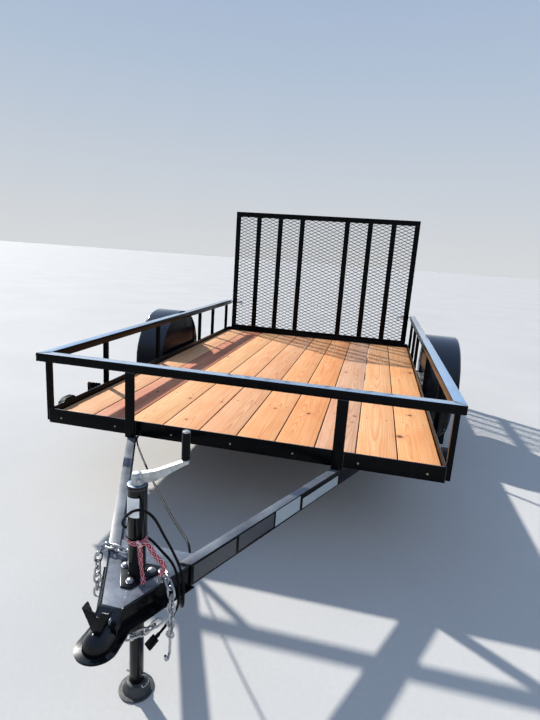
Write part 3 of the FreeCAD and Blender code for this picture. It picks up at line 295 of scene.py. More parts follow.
# ------------------------------------------------------------------ deck boards
SPAN = 10 * 190.0 + 9 * 4.4
BOARD_TINTS = [
    # base colour of each plank, right to left across the deck, and how strongly its grain shows
    ((0.82, 0.45, 0.22), 0.60),
    ((0.60, 0.215, 0.115), 0.60),
    ((0.85, 0.455, 0.21), 0.60),
    ((0.88, 0.455, 0.21), 0.65),
    ((0.78, 0.415, 0.20), 0.70),
    ((0.87, 0.425, 0.19), 0.75),
    ((0.86, 0.385, 0.145), 0.80),
    ((0.70, 0.40, 0.26), 0.60),
    ((0.93, 0.505, 0.235), 0.75),
    ((0.92, 0.465, 0.205), 0.75),
]
KNOTS = [
    # x, y on the deck, half width across the plank, stretch along it
    (871, 772, 9, 1.3), (797, 391, 14, 1.2), (939, 1904, 12, 1.3), (700, 2350, 8, 1.2), (-905, 1210, 8, 1.3), (-760, 2250, 13, 1.2), (-657, 588, 8, 1.5),
    (-905, 2700, 9, 1.2), (-560, 1730, 9, 1.4), (-390, 980, 7, 1.2), (433, 1674, 9, 1.3), (160, 2280, 9, 1.2), (555, 624, 6, 1.4), (544, 514, 5, 1.2),
    (294, 560, 9, 1.3), (92, 575, 7, 1.2), (-426, 549, 7, 1.5), (-229, 558, 5, 1.3), (-310, 204, 6, 1.4), (-130, 2660, 9, 1.2),
]


def wood():
    m = Mat("planks")
    tint = m.n("ShaderNodeAttribute", attribute_name="tint").outputs["Color"]
    seed = m.n("ShaderNodeAttribute", attribute_name="seed").outputs["Fac"]
    depth = m.n("ShaderNodeAttribute", attribute_name="grain").outputs["Fac"]
    pith = m.n("ShaderNodeAttribute", attribute_name="pith").outputs["Fac"]
    x, y, z = m.split(m.pos)
    # knots push the grain aside
    swirl, dark, heart = 0.0, 0.0, 0.0
    for kx, ky, kr, ks in KNOTS:
        c = W(kx, ky, 462)
        d = m.vec("LENGTH", m.vec("MULTIPLY", m.vec("SUBTRACT", m.pos, (c.x, c.y, c.z)), (1.0, 1.0 / ks, 1.0)))
        swirl = m.math("MAXIMUM", swirl, m.remap(d, kr * 0.0048, 0.0))
        dark = m.math("MAXIMUM", dark, m.remap(d, kr * 0.00165, kr * 0.00095))
        heart = m.math("MAXIMUM", heart, m.remap(d, kr * 0.0009, kr * 0.0004))
    # growth rings of a log that lies a little askew under each plank
    low = m.noise(m.join(m.math("MULTIPLY", x, 1.0), m.math("MULTIPLY", y, 0.45), seed), 7.0, 2, 0.5)
    dx = m.math("ADD", m.math("SUBTRACT", x, pith), m.math("MULTIPLY", m.math("SUBTRACT", low, 0.5), 0.016))
    lean = m.math("MULTIPLY", m.math("SUBTRACT", m.noise(m.join(seed, m.math("MULTIPLY", y, 0.30), 0.0), 1.7, 1), 0.5), 0.16)
    deep = m.math("ADD", m.math("ADD", m.math("MULTIPLY", m.math("SUBTRACT", z, 0.462), 1.0), 0.050), lean)
    rad = m.math("SQRT", m.math("ADD", m.math("MULTIPLY", dx, dx), m.math("MULTIPLY", deep, deep)))
    rad = m.math("ADD", rad, m.math("MULTIPLY", swirl, -0.010))
    rad = m.math("ADD", rad, m.math("MULTIPLY", m.noise(m.join(m.math("MULTIPLY", x, 30), m.math("MULTIPLY", y, 3), seed), 1.0, 3, 0.6), 0.0022))
    saw = m.math("FRACT", m.math("MULTIPLY", rad, 145))
    rings = m.math("MULTIPLY", m.remap(saw, 0.35, 0.92), m.remap(saw, 1.0, 0.94))
    fibre = m.noise(m.join(m.math("MULTIPLY", x, 520), m.math("MULTIPLY", y, 7), m.math("MULTIPLY", z, 520)), 1.0, 4, 0.6)
    fine = m.noise(m.join(m.math("MULTIPLY", m.math("ADD", x, seed), 110), m.math("MULTIPLY", y, 1.8), m.math("MULTIPLY", z, 110)), 1.0, 4, 0.6)
    patch = m.noise(m.join(m.math("ADD", m.math("MULTIPLY", x, 2.0), seed), m.math("MULTIPLY", y, 0.7), seed), 2.6, 4, 0.55)
    blush = m.noise(m.join(m.math("ADD", m.math("MULTIPLY", x, 5.0), seed), m.math("MULTIPLY", y, 1.3), seed), 2.0, 3, 0.6)
    dk = m.mix(1.0, tint, (0.70, 0.50, 0.36), "MULTIPLY")
    lt = m.mix(0.24, tint, (0.98, 0.74, 0.42))
    col = m.mix(m.remap(patch, 0.36, 0.70), tint, lt)
    col = m.mix(m.remap(blush, 0.46, 0.70, 0.0, 0.60), col, m.mix(1.0, tint, (0.92, 0.68, 0.52), "MULTIPLY"))
    col = m.mix(m.math("MULTIPLY", rings, m.math("MULTIPLY", depth, 0.85)), col, dk)
    col = m.mix(m.remap(fine, 0.46, 0.70, 0.0, 0.50), col, dk)
    col = m.mix(m.remap(fibre, 0.5, 0.8, 0.0, 0.22), col, dk)
    col = m.mix(m.math("MULTIPLY", swirl, 0.38), col, (0.55, 0.20, 0.08))
    col = m.mix(m.math("MULTIPLY", dark, 0.85), col, (0.17, 0.065, 0.035))
    col = m.mix(m.math("MULTIPLY", heart, 0.8), col, (0.05, 0.02, 0.012))
    # a little grey soil; the planks' sides and ends are painted near black, partly darker end grain and partly painted
    # shade in the gaps between planks
    soil = m.noise(m.pos, 3.2, 6, 0.7)
    col = m.mix(m.remap(soil, 0.60, 0.85, 0.0, 0.14), col, (0.36, 0.27, 0.20))
    side = m.remap(m.up(), 0.75, 0.2)
    col = m.mix(m.math("MULTIPLY", side, 0.92), col, (0.05, 0.018, 0.009))
    r = m.remap(fine, 0.3, 0.7, 0.52, 0.72)
    h = m.math("ADD", m.math("MULTIPLY", rings, 0.35), m.math("ADD", m.math("MULTIPLY", fibre, 0.35), m.math("MULTIPLY", fine, 0.5)))
    nb = m.bump(h, 0.28, 0.0010)
    return m.set(color=col, rough=r, normal=nb, spec=0.3)


M_WOOD = wood()


# ------------------------------------------------------------------ mesh helpers
class MB:
    """Gathers faces in drawing millimetres; obj() makes one piece of them."""

    def __init__(self):
        self.v, self.f, self.k = [], [], []

    def add(self, verts, faces, mat=0):
        o = len(self.v)
        self.v.extend(Vector(p) for p in verts)
        self.f.extend(tuple(i + o for i in f) for f in faces)
        self.k.extend([mat] * len(faces))
        return o

    def box(self, x0, x1, y0, y1, z0, z1, mat=0, e=0.0):
        """Box with chamfered edges where e is not 0."""
        x0, x1, y0, y1, z0, z1 = min(x0, x1), max(x0, x1), min(y0, y1), max(y0, y1), min(z0, z1), max(z0, z1)
        if not e:
            vs = [(x, y, z) for z in (z0, z1) for y in (y0, y1) for x in (x0, x1)]
            self.add(vs, [(0, 2, 3, 1), (4, 5, 7, 6), (0, 1, 5, 4), (2, 6, 7, 3), (0, 4, 6, 2), (1, 3, 7, 5)], mat)
            return
        bm = bmesh.new()
        bmesh.ops.create_cube(bm, size=1)
        for v in bm.verts:
            v.co = Vector(((x0 + x1) / 2 + v.co.x * (x1 - x0), (y0 + y1) / 2 + v.co.y * (y1 - y0), (z0 + z1) / 2 + v.co.z * (z1 - z0)))
        bmesh.ops.bevel(bm, geom=bm.edges[:], offset=e, segments=2, profile=0.5, affect="EDGES")
        bm.verts.ensure_lookup_table()
        bm.verts.index_update()
        self.add([v.co.copy() for v in bm.verts], [tuple(v.index for v in f.verts) for f in bm.faces], mat)
        bm.free()

    def lathe(self, origin, axis, profile, n=32, mat=0, closed=False, turn=0.0):
        """profile: (distance along the axis, radius)."""
        a = Vector(axis).normalized()
        s = a.orthogonal().normalized()
        t = a.cross(s)
        o = Vector(origin)
        rows = []
        vs, fs = [], []
        for h, r in profile:
            if r < 1e-6:
                rows.append([len(vs)])
                vs.append(o + a * h)
            else:
                rows.append(list(range(len(vs), len(vs) + n)))
                for i in range(n):
                    g = 2 * math.pi * i / n + turn
                    vs.append(o + a * h + s * (r * math.cos(g)) + t * (r * math.sin(g)))
        pairs = list(zip(rows[:-1], rows[1:]))
        if closed:
            pairs.append((rows[-1], rows[0]))
        for p, q in pairs:
            for i in range(n):
                j = (i + 1) % n
                if len(p) == 1 and len(q) == 1:
                    continue
                if len(p) == 1:
                    fs.append((p[0], q[j], q[i]))
                elif len(q) == 1:
                    fs.append((p[i], p[j], q[0]))
                else:
                    fs.append((p[i], p[j], q[j], q[i]))
        self.add(vs, fs, mat)

    def rod(self, p, q, r, n=20, mat=0, e=0.0):
        d = Vector(q) - Vector(p)
        ln = d.length
        pr = [(0, 0), (0, r - e), (e, r), (ln - e, r), (ln, r - e), (ln, 0)] if e else [(0, 0), (0, r), (ln, r), (ln, 0)]
        self.lathe(p, d, pr, n, mat)

    def hexbolt(self, at, axis, af=19.0, height=8.0, shank=0.0, washer=True, mat=0, turn=0.0):
        r = af / math.sqrt(3)
        if washer:
            self.lathe(at, axis, [(0, 0), (0, af * 0.82), (1.6, af * 0.82), (2.0, af * 0.78), (2.0, 0)], 28, mat)
        z = 2.0 if washer else 0.0
        a = Vector(axis).normalized()
        self.lathe(Vector(at) + a * z, axis, [(0, 0), (0, r), (height - 1.4, r), (height - 0.5, r * 0.93), (height, r * 0.82), (height, 0)], 6, mat, turn=turn)
        if shank:
            self.lathe(Vector(at) + a * (z + height), axis, [(0, af * 0.3), (shank - 1, af * 0.3), (shank, af * 0.24), (shank, 0)], 16, mat)

    def tube(self, pts, r, n=8, mat=0, wobble=None, caps=True):
        """Round tube along points; wobble(i) scales the radius."""
        P = [Vector(p) for p in pts]
        vs, fs = [], []
        ref = None
        for i, p in enumerate(P):
            d = (P[min(i + 1, len(P) - 1)] - P[max(i - 1, 0)]).normalized()
            if ref is None:
                ref = d.orthogonal().normalized()
            ref = (ref - d * ref.dot(d)).normalized()
            t = d.cross(ref)
            rr = r * (wobble(i) if wobble else 1.0)
            for k in range(n):
                g = 2 * math.pi * k / n
                vs.append(p + ref * (rr * math.cos(g)) + t * (rr * math.sin(g)))
        for i in range(len(P) - 1):
            for k in range(n):
                j = (k + 1) % n
                fs.append((i * n + k, i * n + j, (i + 1) * n + j, (i + 1) * n + k))
        if caps:
            fs.append(tuple(range(n - 1, -1, -1)))
            fs.append(tuple((len(P) - 1) * n + k for k in range(n)))
        self.add(vs, fs, mat)

    def bead(self, p, q, r=2.6, mat=0):
        """Weld bead: overlapping ripples along a joint."""
        p, q = Vector(p), Vector(q)
        ln = (q - p).length
        n = max(3, int(ln / 1.5))
        pts = [p + (q - p) * (i / n) + Vector((rnd.uniform(-0.3, 0.3), rnd.uniform(-0.3, 0.3), rnd.uniform(-0.3, 0.3))) for i in range(n + 1)]
        ph = rnd.random() * 6
        self.tube(pts, r, 8, mat, wobble=lambda i: (0.55 if i in (0, n) else 0.86 + 0.16 * abs(math.sin(i * 1.05 + ph))))

    def obj(self, name, body, mats, angle=35.0, replaces=(), mirror=False):
        me = bpy.data.meshes.new(name)
        me.from_pydata([W(*p) for p in self.v], [], self.f)
        me.polygons.foreach_set("material_index", self.k)
        for m in (mats if isinstance(mats, (list, tuple)) else [mats]):
            me.materials.append(m)
        bm = bmesh.new()
        bm.from_mesh(me)
        bmesh.ops.remove_doubles(bm, verts=bm.verts[:], dist=1e-7)
        bmesh.ops.recalc_face_normals(bm, faces=bm.faces[:])
        bm.to_mesh(me)
        bm.free()
        me.shade_smooth()
        me.set_sharp_from_angle(angle=math.radians(angle))
        return place(name, me, body, replaces)


def place(name, me, body, replaces=()):
    ob = bpy.data.objects.new(name, me)
    scene.collection.objects.link(ob)
    if replaces:
        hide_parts(*replaces)
    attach(ob, body)
    return ob


BODY_OF = {n: b for b, ns in frame["record"]["behaviour"]["bodies"].items() for n in ns}


def refine(node, mat, bevel=0.8, seg=2, angle=32.0, smooth=40.0, trim=None):
    """A softer-edged copy of a CAD node stands for it: same faces, small rounded edges."""
    src = frame["nodes"][node]
    me = bpy.data.meshes.new(node + "_v")
    bm = bmesh.new()
    bm.from_mesh(src.data)
    for layer in list(bm.loops.layers.uv):
        bm.loops.layers.uv.remove(layer)
    bmesh.ops.remove_doubles(bm, verts=bm.verts[:], dist=2e-6)
    bmesh.ops.dissolve_limit(bm, angle_limit=math.radians(0.6), verts=bm.verts[:], edges=bm.edges[:])
    if trim:
        trim(bm)
    if bevel:
        sharp = [e for e in bm.edges if len(e.link_faces) == 2 and e.calc_face_angle(0.0) > math.radians(angle)]
        bmesh.ops.bevel(bm, geom=sharp, offset=bevel * 0.001, offset_type="OFFSET", segments=seg, profile=0.6, affect="EDGES", clamp_overlap=True)
    bmesh.ops.triangulate(bm, faces=[f for f in bm.faces if len(f.verts) > 4])
    bm.to_mesh(me)
    bm.free()
    me.attributes.remove(me.attributes["custom_normal"]) if "custom_normal" in me.attributes else None
    me.materials.clear()
    me.materials.append(mat)
    for p in me.polygons:
        p.material_index = 0
    me.shade_smooth()
    me.set_sharp_from_angle(angle=math.radians(smooth))
    return place(node + "_v", me, BODY_OF[node], [node])


def curve_points(pts, n=10):
    """Points on a smooth line through pts (Catmull-Rom)."""
    P = [Vector(p) for p in pts]
    P = [P[0] * 2 - P[1]] + P + [P[-1] * 2 - P[-2]]
    out = []
    for i in range(1, len(P) - 2):
        a, b, c, d = P[i - 1:i + 3]
        for k in range(n):
            t = k / n
            out.append(0.5 * ((2 * b) + (c - a) * t + (2 * a - 5 * b + 4 * c - d) * t * t + (3 * b - a - 3 * c + d) * t ** 3))
    out.append(P[-2])
    return out


# ------------------------------------------------------------------ wiring lead, from the clip to its plug
LEAD = [
    # from the clip on the frame's face, slack across the gap between the arms
    (-470, -16.5, 430), (-463, -50, 427), (-438, -92, 421), (-400, -143, 414), (-345, -213, 406), (-283, -292, 401), (-216, -376, 398), (-146, -464, 398),
    (-80, -547, 401), (-22, -619, 406), (26, -676, 411), (64, -719, 416), (90, -751, 415),
    # down through the open back of the coupler and up again outside it
    (104, -773, 402), (110, -786, 378), (109, -799, 350), (107, -817, 327), (110, -845, 312), (120, -882, 308), (136, -914, 319), (149, -935, 342), (152, -940, 372),
    (145, -926, 399), (131, -905, 420), (114, -887, 437), (98, -879, 456),
    # up beside the jack tube, over its front and once round it
    (87, -884, 484), (80, -897, 514), (74, -915, 549), (68, -932, 585), (62, -948, 616), (52, -961, 637), (35, -971, 649), (13, -975, 645), (-10, -971, 623),
    (-31, -957, 594), (-42, -935, 565), (-44, -908, 540), (-32, -886, 520), (-8, -876, 505), (20, -877, 494), (44, -886, 483),
    # out over the arm and down beside it to the plug
    (66, -893, 471), (88, -898, 458), (107, -905, 441), (121, -914, 420), (131, -927, 393), (138, -941, 364), (133, -937, 335), (121, -935, 308), (109, -939, 286),
    (99, -950, 268), (89, -963, 256),
]
LEAD_D = 8.0
cu = bpy.data.curves.new("lead", "CURVE")
cu.dimensions = "3D"
sp = cu.splines.new("NURBS")
sp.points.add(len(LEAD) - 1)
for pt, p in zip(sp.points, LEAD):
    pt.co = (*W(*p), 1)
sp.order_u = 3
sp.use_endpoint_u = True
sp.resolution_u = 6
cu.bevel_depth = LEAD_D / 2000
cu.bevel_resolution = 5
cu.use_fill_caps = True
cu.materials.append(M_SHEATH)
lead = bpy.data.objects.new("lead", cu)
scene.collection.objects.link(lead)
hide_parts("wiring_lead")
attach(lead, "chassis")
plug = refine("lead_plug", M_SHEATH, 0.9, 2)
bpy.context.view_layer.update()
LEAD_M = sum((W(*b) - W(*a)).length for a, b in zip(LEAD[:-1], LEAD[1:]))

# ------------------------------------------------------------------ steelwork
BALL_Y, BALL_Z, NOSE_R, SHOULDER_Y = -1138.0, 352.0, 38.0, -1110.0


def open_nose(bm):
    """Takes the squared top off the coupler's nose and leaves the ball cavity; a round skin goes on instead."""
    for co, no in ((W(0, SHOULDER_Y, 0), (0, 1, 0)), (W(0, 0, BALL_Z), (0, 0, 1))):
        bmesh.ops.bisect_plane(bm, geom=bm.verts[:] + bm.edges[:] + bm.faces[:], plane_co=co, plane_no=no, dist=1e-6)
    c, lim = W(0, BALL_Y, BALL_Z), W(0, SHOULDER_Y, BALL_Z)
    gone = []
    for f in bm.faces:
        m_ = f.calc_center_median()
        if m_.y < lim.y - 1e-4 and m_.z > lim.z + 1e-4 and max((v.co - c).length for v in f.verts) > 0.030:
            gone.append(f)
    bmesh.ops.delete(bm, geom=gone, context="FACES")


def open_sleeve(bm):
    """Keeps the jack's sleeve open inside at the step, where a hair-thin ring would close up."""
    c = W(0, -928, 546)
    disc = [f for f in bm.faces if all(abs(v.co.z - c.z) < 2e-4 and (v.co - c).length < 0.0257 for v in f.verts)]
    bmesh.ops.delete(bm, geom=disc, context="FACES_ONLY")


def slim_leg(bm):
    """The jack's leg, half a millimetre thinner, so that its facets stay clear of the sleeve's."""
    c = W(0, -928, 0)
    for v in bm.verts:
        v.co.x = c.x + (v.co.x - c.x) * 0.974
        v.co.y = c.y + (v.co.y - c.y) * 0.974


for node, mat, bev in (
    ("frame_ends", M_BLACK, 0.9), ("frame_sides", M_BLACK, 0.9), ("crossmembers", M_BLACK_FLAT, 0.9), ("drawbar_arms", M_DRAWBAR, 1.2),
    ("coupler", M_COUPLER, 1.6), ("coupler_latch", M_GLOSS, 0.7), ("jack_tube", M_JACK, 0.7), ("posts_front", M_BLACK, 0.9), ("posts_side", M_BLACK, 0.9),
    ("rail_front", M_RAIL, 3.2), ("rails_side", M_RAIL, 3.2), ("fender_left", M_FENDER, 0.6), ("fender_right", M_FENDER, 0.6), ("axle", M_BLACK_FLAT, 1.0),
    ("leaf_springs", M_BLACK_FLAT, 0.8), ("spring_hangers", M_BLACK_FLAT, 0.8), ("rim_left", M_BLACK, 0.8), ("rim_right", M_BLACK, 0.8),
    ("hub_left", M_BLACK, 1.0), ("hub_right", M_BLACK, 1.0), ("gate_frame", M_BLACK, 0.9), ("gate_bars", M_BLACK, 0.9), ("gate_knuckles", M_BLACK, 0.8),
    ("latch_keepers", M_BLACK, 0.8), ("rope_hooks", M_BLACK, 0.8), ("tail_lamp_boxes", M_BLACK, 0.8), ("plate_holder", M_BLACK, 0.6),
):
    refine(node, mat, bev, trim={"coupler": open_nose, "jack_tube": open_sleeve}.get(node))
for node, mat, bev in (
    ("jack_leg", M_JACK, 0.6), ("jack_foot", M_FOOT, 0.8), ("jack_crank", M_CAST, 1.6), ("spring_clamps", M_ZINC, 0.5), ("gate_hinge_pins", M_ZINC, 0.9),
    ("gate_latches", M_ZINC, 0.8), ("safety_chains", M_BRIGHT, 0.0), ("chain_hook", M_BRIGHT, 0.0),
):
    refine(node, mat, bev, trim=slim_leg if node == "jack_leg" else None)

# ------------------------------------------------------------------ deck boards with eased edges
bm = bmesh.new()
tints, seeds, grains, piths = [], [], [], []
for i, (tint, grain) in enumerate(BOARD_TINTS):
    x0 = -SPAN / 2 + i * 194.4
    shift = rnd.uniform(-0.4, 0.4)
    sub = bmesh.new()
    bmesh.ops.create_cube(sub, size=1)
    lo, hi = W(x0 + 0.2, 6, 424), W(x0 + 189.8, 3074, 462)
    for v in sub.verts:
        v.co = Vector([(lo[k] + hi[k]) / 2 + v.co[k] * (hi[k] - lo[k]) for k in range(3)])
    bmesh.ops.bevel(sub, geom=sub.edges[:], offset=0.0035, segments=3, profile=0.5, affect="EDGES")
    long_edges = [e for e in sub.edges if abs(e.verts[0].co.y - e.verts[1].co.y) > 2.5]
    bmesh.ops.subdivide_edges(sub, edges=long_edges, cuts=24, use_grid_fill=True)
    for v in sub.verts:
        u = (v.co.x - (lo.x + hi.x) / 2) / (hi.x - lo.x) * 2
        if v.co.z > hi.z - 0.005:
            v.co.z -= 0.0009 * (u * u) + 0.0004 * (1 + math.sin(v.co.y * 2.3 + i * 1.9))
    off = len(bm.verts)
    vmap = [bm.verts.new(v.co) for v in sub.verts]
    sub.verts.index_update()
    for f in sub.faces:
        bm.faces.new([vmap[v.index] for v in f.verts])
    k = len(bm.verts) - off
    t = tuple(c * rnd.uniform(0.97, 1.03) for c in tint)
    tints += [(*t, 1.0)] * k
    seeds += [0.37 + i * 1.618] * k
    grains += [grain] * k
    piths += [(x0 + 95 + rnd.uniform(-45, 45)) * 0.001] * k
    sub.free()
me = bpy.data.meshes.new("deck_planks")
bm.to_mesh(me)
bm.free()
a = me.attributes.new("tint", "FLOAT_COLOR", "POINT")
a.data.foreach_set("color", [c for t in tints for c in t])
a = me.attributes.new("seed", "FLOAT", "POINT")
a.data.foreach_set("value", seeds)
a = me.attributes.new("grain", "FLOAT", "POINT")
a.data.foreach_set("value", grains)
a = me.attributes.new("pith", "FLOAT", "POINT")
a.data.foreach_set("value", piths)
me.materials.append(M_WOOD)
me.shade_smooth()
me.set_sharp_from_angle(angle=math.radians(30))
place("deck_planks", me, "chassis", ["deck_boards"])

# deck screws, sunk a little, over each crossmember and both end angles
sc = MB()
for y in (30, 622, 1232, 1842, 2452, 3052):
    for i in range(10):
        x0 = -SPAN / 2 + i * 194.4
        for dx in (42, 148):
            x, yy = x0 + dx + rnd.uniform(-5, 5), y + rnd.uniform(-4, 4)
            sc.lathe((x, yy, 461.6), (0, 0, 1), [(-2.0, 4.2), (0.0, 4.2), (0.3, 3.9), (0.3, 2.0), (-1.4, 1.6), (-1.4, 0)], 14, 0)
sc.obj("deck_screws", "chassis", M_SCREW)

# ------------------------------------------------------------------ expanded metal in the gate
GX, GY, GZ0, GZ1 = 950.0, 3089.0, 473.0, 1735.0
LWD, SWD = 76.0, 34.0
em = MB()
x_lo, x_hi = -GX + 5, GX - 5
z_lo, z_hi = GZ0 + 5, GZ1 - 5
cols = int((x_hi - x_lo) / (LWD / 2))
x_start = -cols * LWD / 4
rows = int((z_hi - z_lo) / (SWD / 2))
for k in range(rows):
    za = z_lo + k * SWD / 2
    pts = []
    for i in range(cols + 1):
        x = x_start + i * LWD / 2
        z = za + ((i + k) % 2) * SWD / 2
        hi_side = (i + k) % 2
        pull = -1.3 if hi_side else 1.3
        for dx in (-4.5, 4.5):
            pts.append((min(max(x + dx, x_lo), x_hi), z + pull))
    vs, fs = [], []
    tilt = 0.5 if k % 2 else -0.5
    for x, z in pts:
        hw, ht = 2.7, 1.2
        ca, sa = math.cos(tilt), math.sin(tilt)
        for a_, b_ in ((-hw, -ht), (hw, -ht), (hw, ht), (-hw, ht)):
            vs.append((x, GY + 11.2 + a_ * sa + b_ * ca, z + a_ * ca - b_ * sa))
    for i in range(len(pts) - 1):
        for q in range(4):
            j = (q + 1) % 4
            fs.append((i * 4 + q, (i + 1) * 4 + q, (i + 1) * 4 + j, i * 4 + j))
    fs.append((0, 1, 2, 3))
    n = (len(pts) - 1) * 4
    fs.append((n + 3, n + 2, n + 1, n))
    em.add(vs, fs)
em.obj("gate_expanded_metal", "tailgate", M_MESH, angle=30, replaces=["gate_mesh"])

# ------------------------------------------------------------------ front face screws, the same along the rear angle
hs = MB()
for i in range(7):
    x = -910 + 302 * i
    for y, ax in ((0.0, (0, -1, 0)), (3080.0, (0, 1, 0))):
        hs.lathe((x, y, 450), ax, [(0, 0), (0, 5.2), (0.9, 5.0), (1.3, 4.1), (1.3, 0)], 24)
        hs.hexbolt((x, y - 1.3 if y == 0 else y + 1.3, 450), ax, 7.0, 2.6, washer=False, turn=rnd.random())
hs.obj("angle_screws", "chassis", M_BRASS)

# ------------------------------------------------------------------ weld beads
wb = MB()
HALF, FT, FB = 978.0, 495.0, 419.0
RAIL_BOT = 749.0
for s in (-1, 1):
    # corner posts against the frame's side and under the rail
    wb.bead((s * (HALF + 1.0), 13.0, FB + 8), (s * (HALF + 1.0), 13.0, FT - 2), 2.2)
    wb.bead((s * (HALF + 1.0), 40.0, FB + 8), (s * (HALF + 1.0), 40.0, FT - 2), 2.2)
    wb.bead((s * (HALF + 1), 13.0, RAIL_BOT - 0.5), (s * (HALF + 24), 13.0, RAIL_BOT - 0.5), 2.4)
    wb.bead((s * (HALF - 0.5), 16, RAIL_BOT - 0.5), (s * (HALF - 0.5), 37, RAIL_BOT - 0.5), 2.0)
    # side posts to frame and rail
    for y in (572, 1304, 2196, 2562, 3010):
        wb.bead((s * (HALF + 1.0), y + 1.2, FB + 8), (s * (HALF + 1.0), y + 1.2, FT - 2), 2.4)
        wb.bead((s * (HALF + 1), y + 0.8, RAIL_BOT - 0.4), (s * (HALF + 24), y + 0.8, RAIL_BOT - 0.4), 2.4)
        wb.bead((s * (HALF + 25.4), y - 23, RAIL_BOT - 0.4), (s * (HALF + 25.4), y - 2, RAIL_BOT - 0.4), 2.2)
    # frame corners
    wb.bead((s * (HALF - 0.6), -0.6, FB + 2), (s * (HALF - 0.6), -0.6, FT - 2), 1.8)
    wb.bead((s * (HALF - 0.6), 3080.6, FB + 2), (s * (HALF - 0.6), 3080.6, FT - 2), 1.8)
    # rail mitres, ground nearly flush
    wb.bead((s * 1014, -36, 791.0), (s * 967, 11, 791.0), 1.5)
    wb.bead((s * 965.4, 12.6, 750), (s * 965.4, 12.6, 790), 2.0)
    # front posts to frame and rail
    wb.bead((s * 494, -2, FB + 3), (s * 494, -2, FT - 3), 2.4)
    wb.bead((s * 532, -2, FB + 3), (s * 532, -2, FT - 3), 2.4)
    wb.bead((s * 483, -37, RAIL_BOT - 0.4), (s * 531, -37, RAIL_BOT - 0.4), 2.4)
    # drawbar arms to the front angle
    a0 = 517 - 20
    wb.bead((s * a0, -1.5, FB - 0.5), (s * (a0 + 42), -1.5, FB - 0.5), 2.8)
    # hangers
    for y in (1806 - 322, 1806 + 322):
        wb.bead((s * 919, y - 32, FB - 4.5), (s * 919, y + 32, FB - 4.5), 2.4)
        wb.bead((s * 980, y - 32, FB - 4.5), (s * 980, y + 32, FB - 4.5), 2.4)
    # fender to rail
    wb.bead((s * 1016.2, 1806 - 175, 752), (s * 1016.2, 1806 - 95, 788), 2.2)
    wb.bead((s * 1016.2, 1806 + 95, 788), (s * 1016.2, 1806 + 175, 752), 2.2)
wb.obj("weld_beads", "chassis", M_WELD, angle=70)
gb = MB()
pitch = (1900 - 38) / 8
for i in range(1, 8):
    if i == 4:
        continue
    x = -GX + 19 + i * pitch
    for z in (GZ0 + 50, GZ1 - 50):
        gb.bead((x - 24, GY + 3.6, z), (x + 24, GY + 3.6, z), 1.9)
        gb.bead((x + 2.4, GY + 9, z), (x + 2.4, GY + 30, z), 1.8)
for s in (-1, 1):
    for z in (GZ0 + 50, GZ1 - 50):
        gb.bead((s * (GX - 50), GY - 0.3, z - 0), (s * (GX - 2), GY - 0.3, z), 1.5)
    for x in (-700, 0, 700):
        gb.bead((x + s * 36, GY + 4, GZ0 + 0.5), (x + s * 56, GY + 4, GZ0 + 0.5), 2.2)
gb.obj("gate_weld_beads", "tailgate", M_WELD, angle=70)

# ------------------------------------------------------------------ jack details
JY = -928.0
jd = MB()
# grey cap ring, bolts of the flange, cast socket of the crank with its cross bolt
jd.lathe((0, JY, 699.2), (0, 0, 1), [(-9.0, 28.6), (-9.0, 29.4), (0.6, 29.4), (1.4, 28.8), (1.6, 28.2)], 48, 3)
jd.lathe((0, JY, 699.2), (0, 0, 1), [(1.2, 28.3), (2.4, 28.0), (3.0, 27.2), (3.3, 24.0), (3.3, 14)], 48, 0)
for x, y in ((-45, -913), (1, -972), (38, -912)):
    jd.lathe((x, y, 417.7), (0, 0, 1), [(0, 0), (0, 12.5), (1.6, 12.4), (1.8, 10.4), (2.4, 10.4), (6.2, 9.8), (8.6, 7.0), (9.6, 0)], 28, 4)
    jd.lathe((x, y, 405), (0, 0, -1), [(-3, 9), (0, 9), (0, 0)], 6, 1)
d = Vector((math.cos(math.radians(36)), math.sin(math.radians(36)), 0))
nrm = Vector((-d.y, d.x, 0))
c = Vector((0, JY, 717))
jd.lathe((0, JY, 701.5), (0, 0, 1), [(0, 19.0), (2.0, 19.6), (4.0, 18.6), (8.0, 17.2), (22.0, 16.6), (27.0, 16.2), (31.0, 14.6), (33.6, 11.0), (34.4, 6.0), (34.6, 0)], 40, 2)
jd.lathe(c - nrm * 15.0, -nrm, [(0, 9.4), (3.0, 9.2), (4.2, 7.8), (4.2, 0)], 24, 2)
jd.hexbolt(c - nrm * 19.0, -nrm, 12, 5, washer=False, mat=1)
jd.lathe(c + nrm * 15.0, nrm, [(0, 9.4), (3.0, 9.2), (4.2, 7.8), (4.2, 0)], 24, 2)
jd.hexbolt(c + nrm * 19.0, nrm, 12, 5, shank=3, washer=False, mat=1)
g = c - Vector((0, 0, 717)) + Vector((136 * d.x, 136 * d.y, 0))
# rounded end of the bar and the bolt end above the grip
jd.lathe((g.x, g.y, 744.5), (0, 0, 1), [(0, 0), (0, 9.6), (1.0, 10.6), (10.6, 10.6), (11.6, 9.6), (11.6, 0)], 32, 2)
jd.lathe((g.x, g.y, 841), (0, 0, 1), [(0, 0), (0, 11.4), (2.0, 11.6), (3.6, 10.4), (4.4, 6.0), (4.6, 0)], 28, 4)
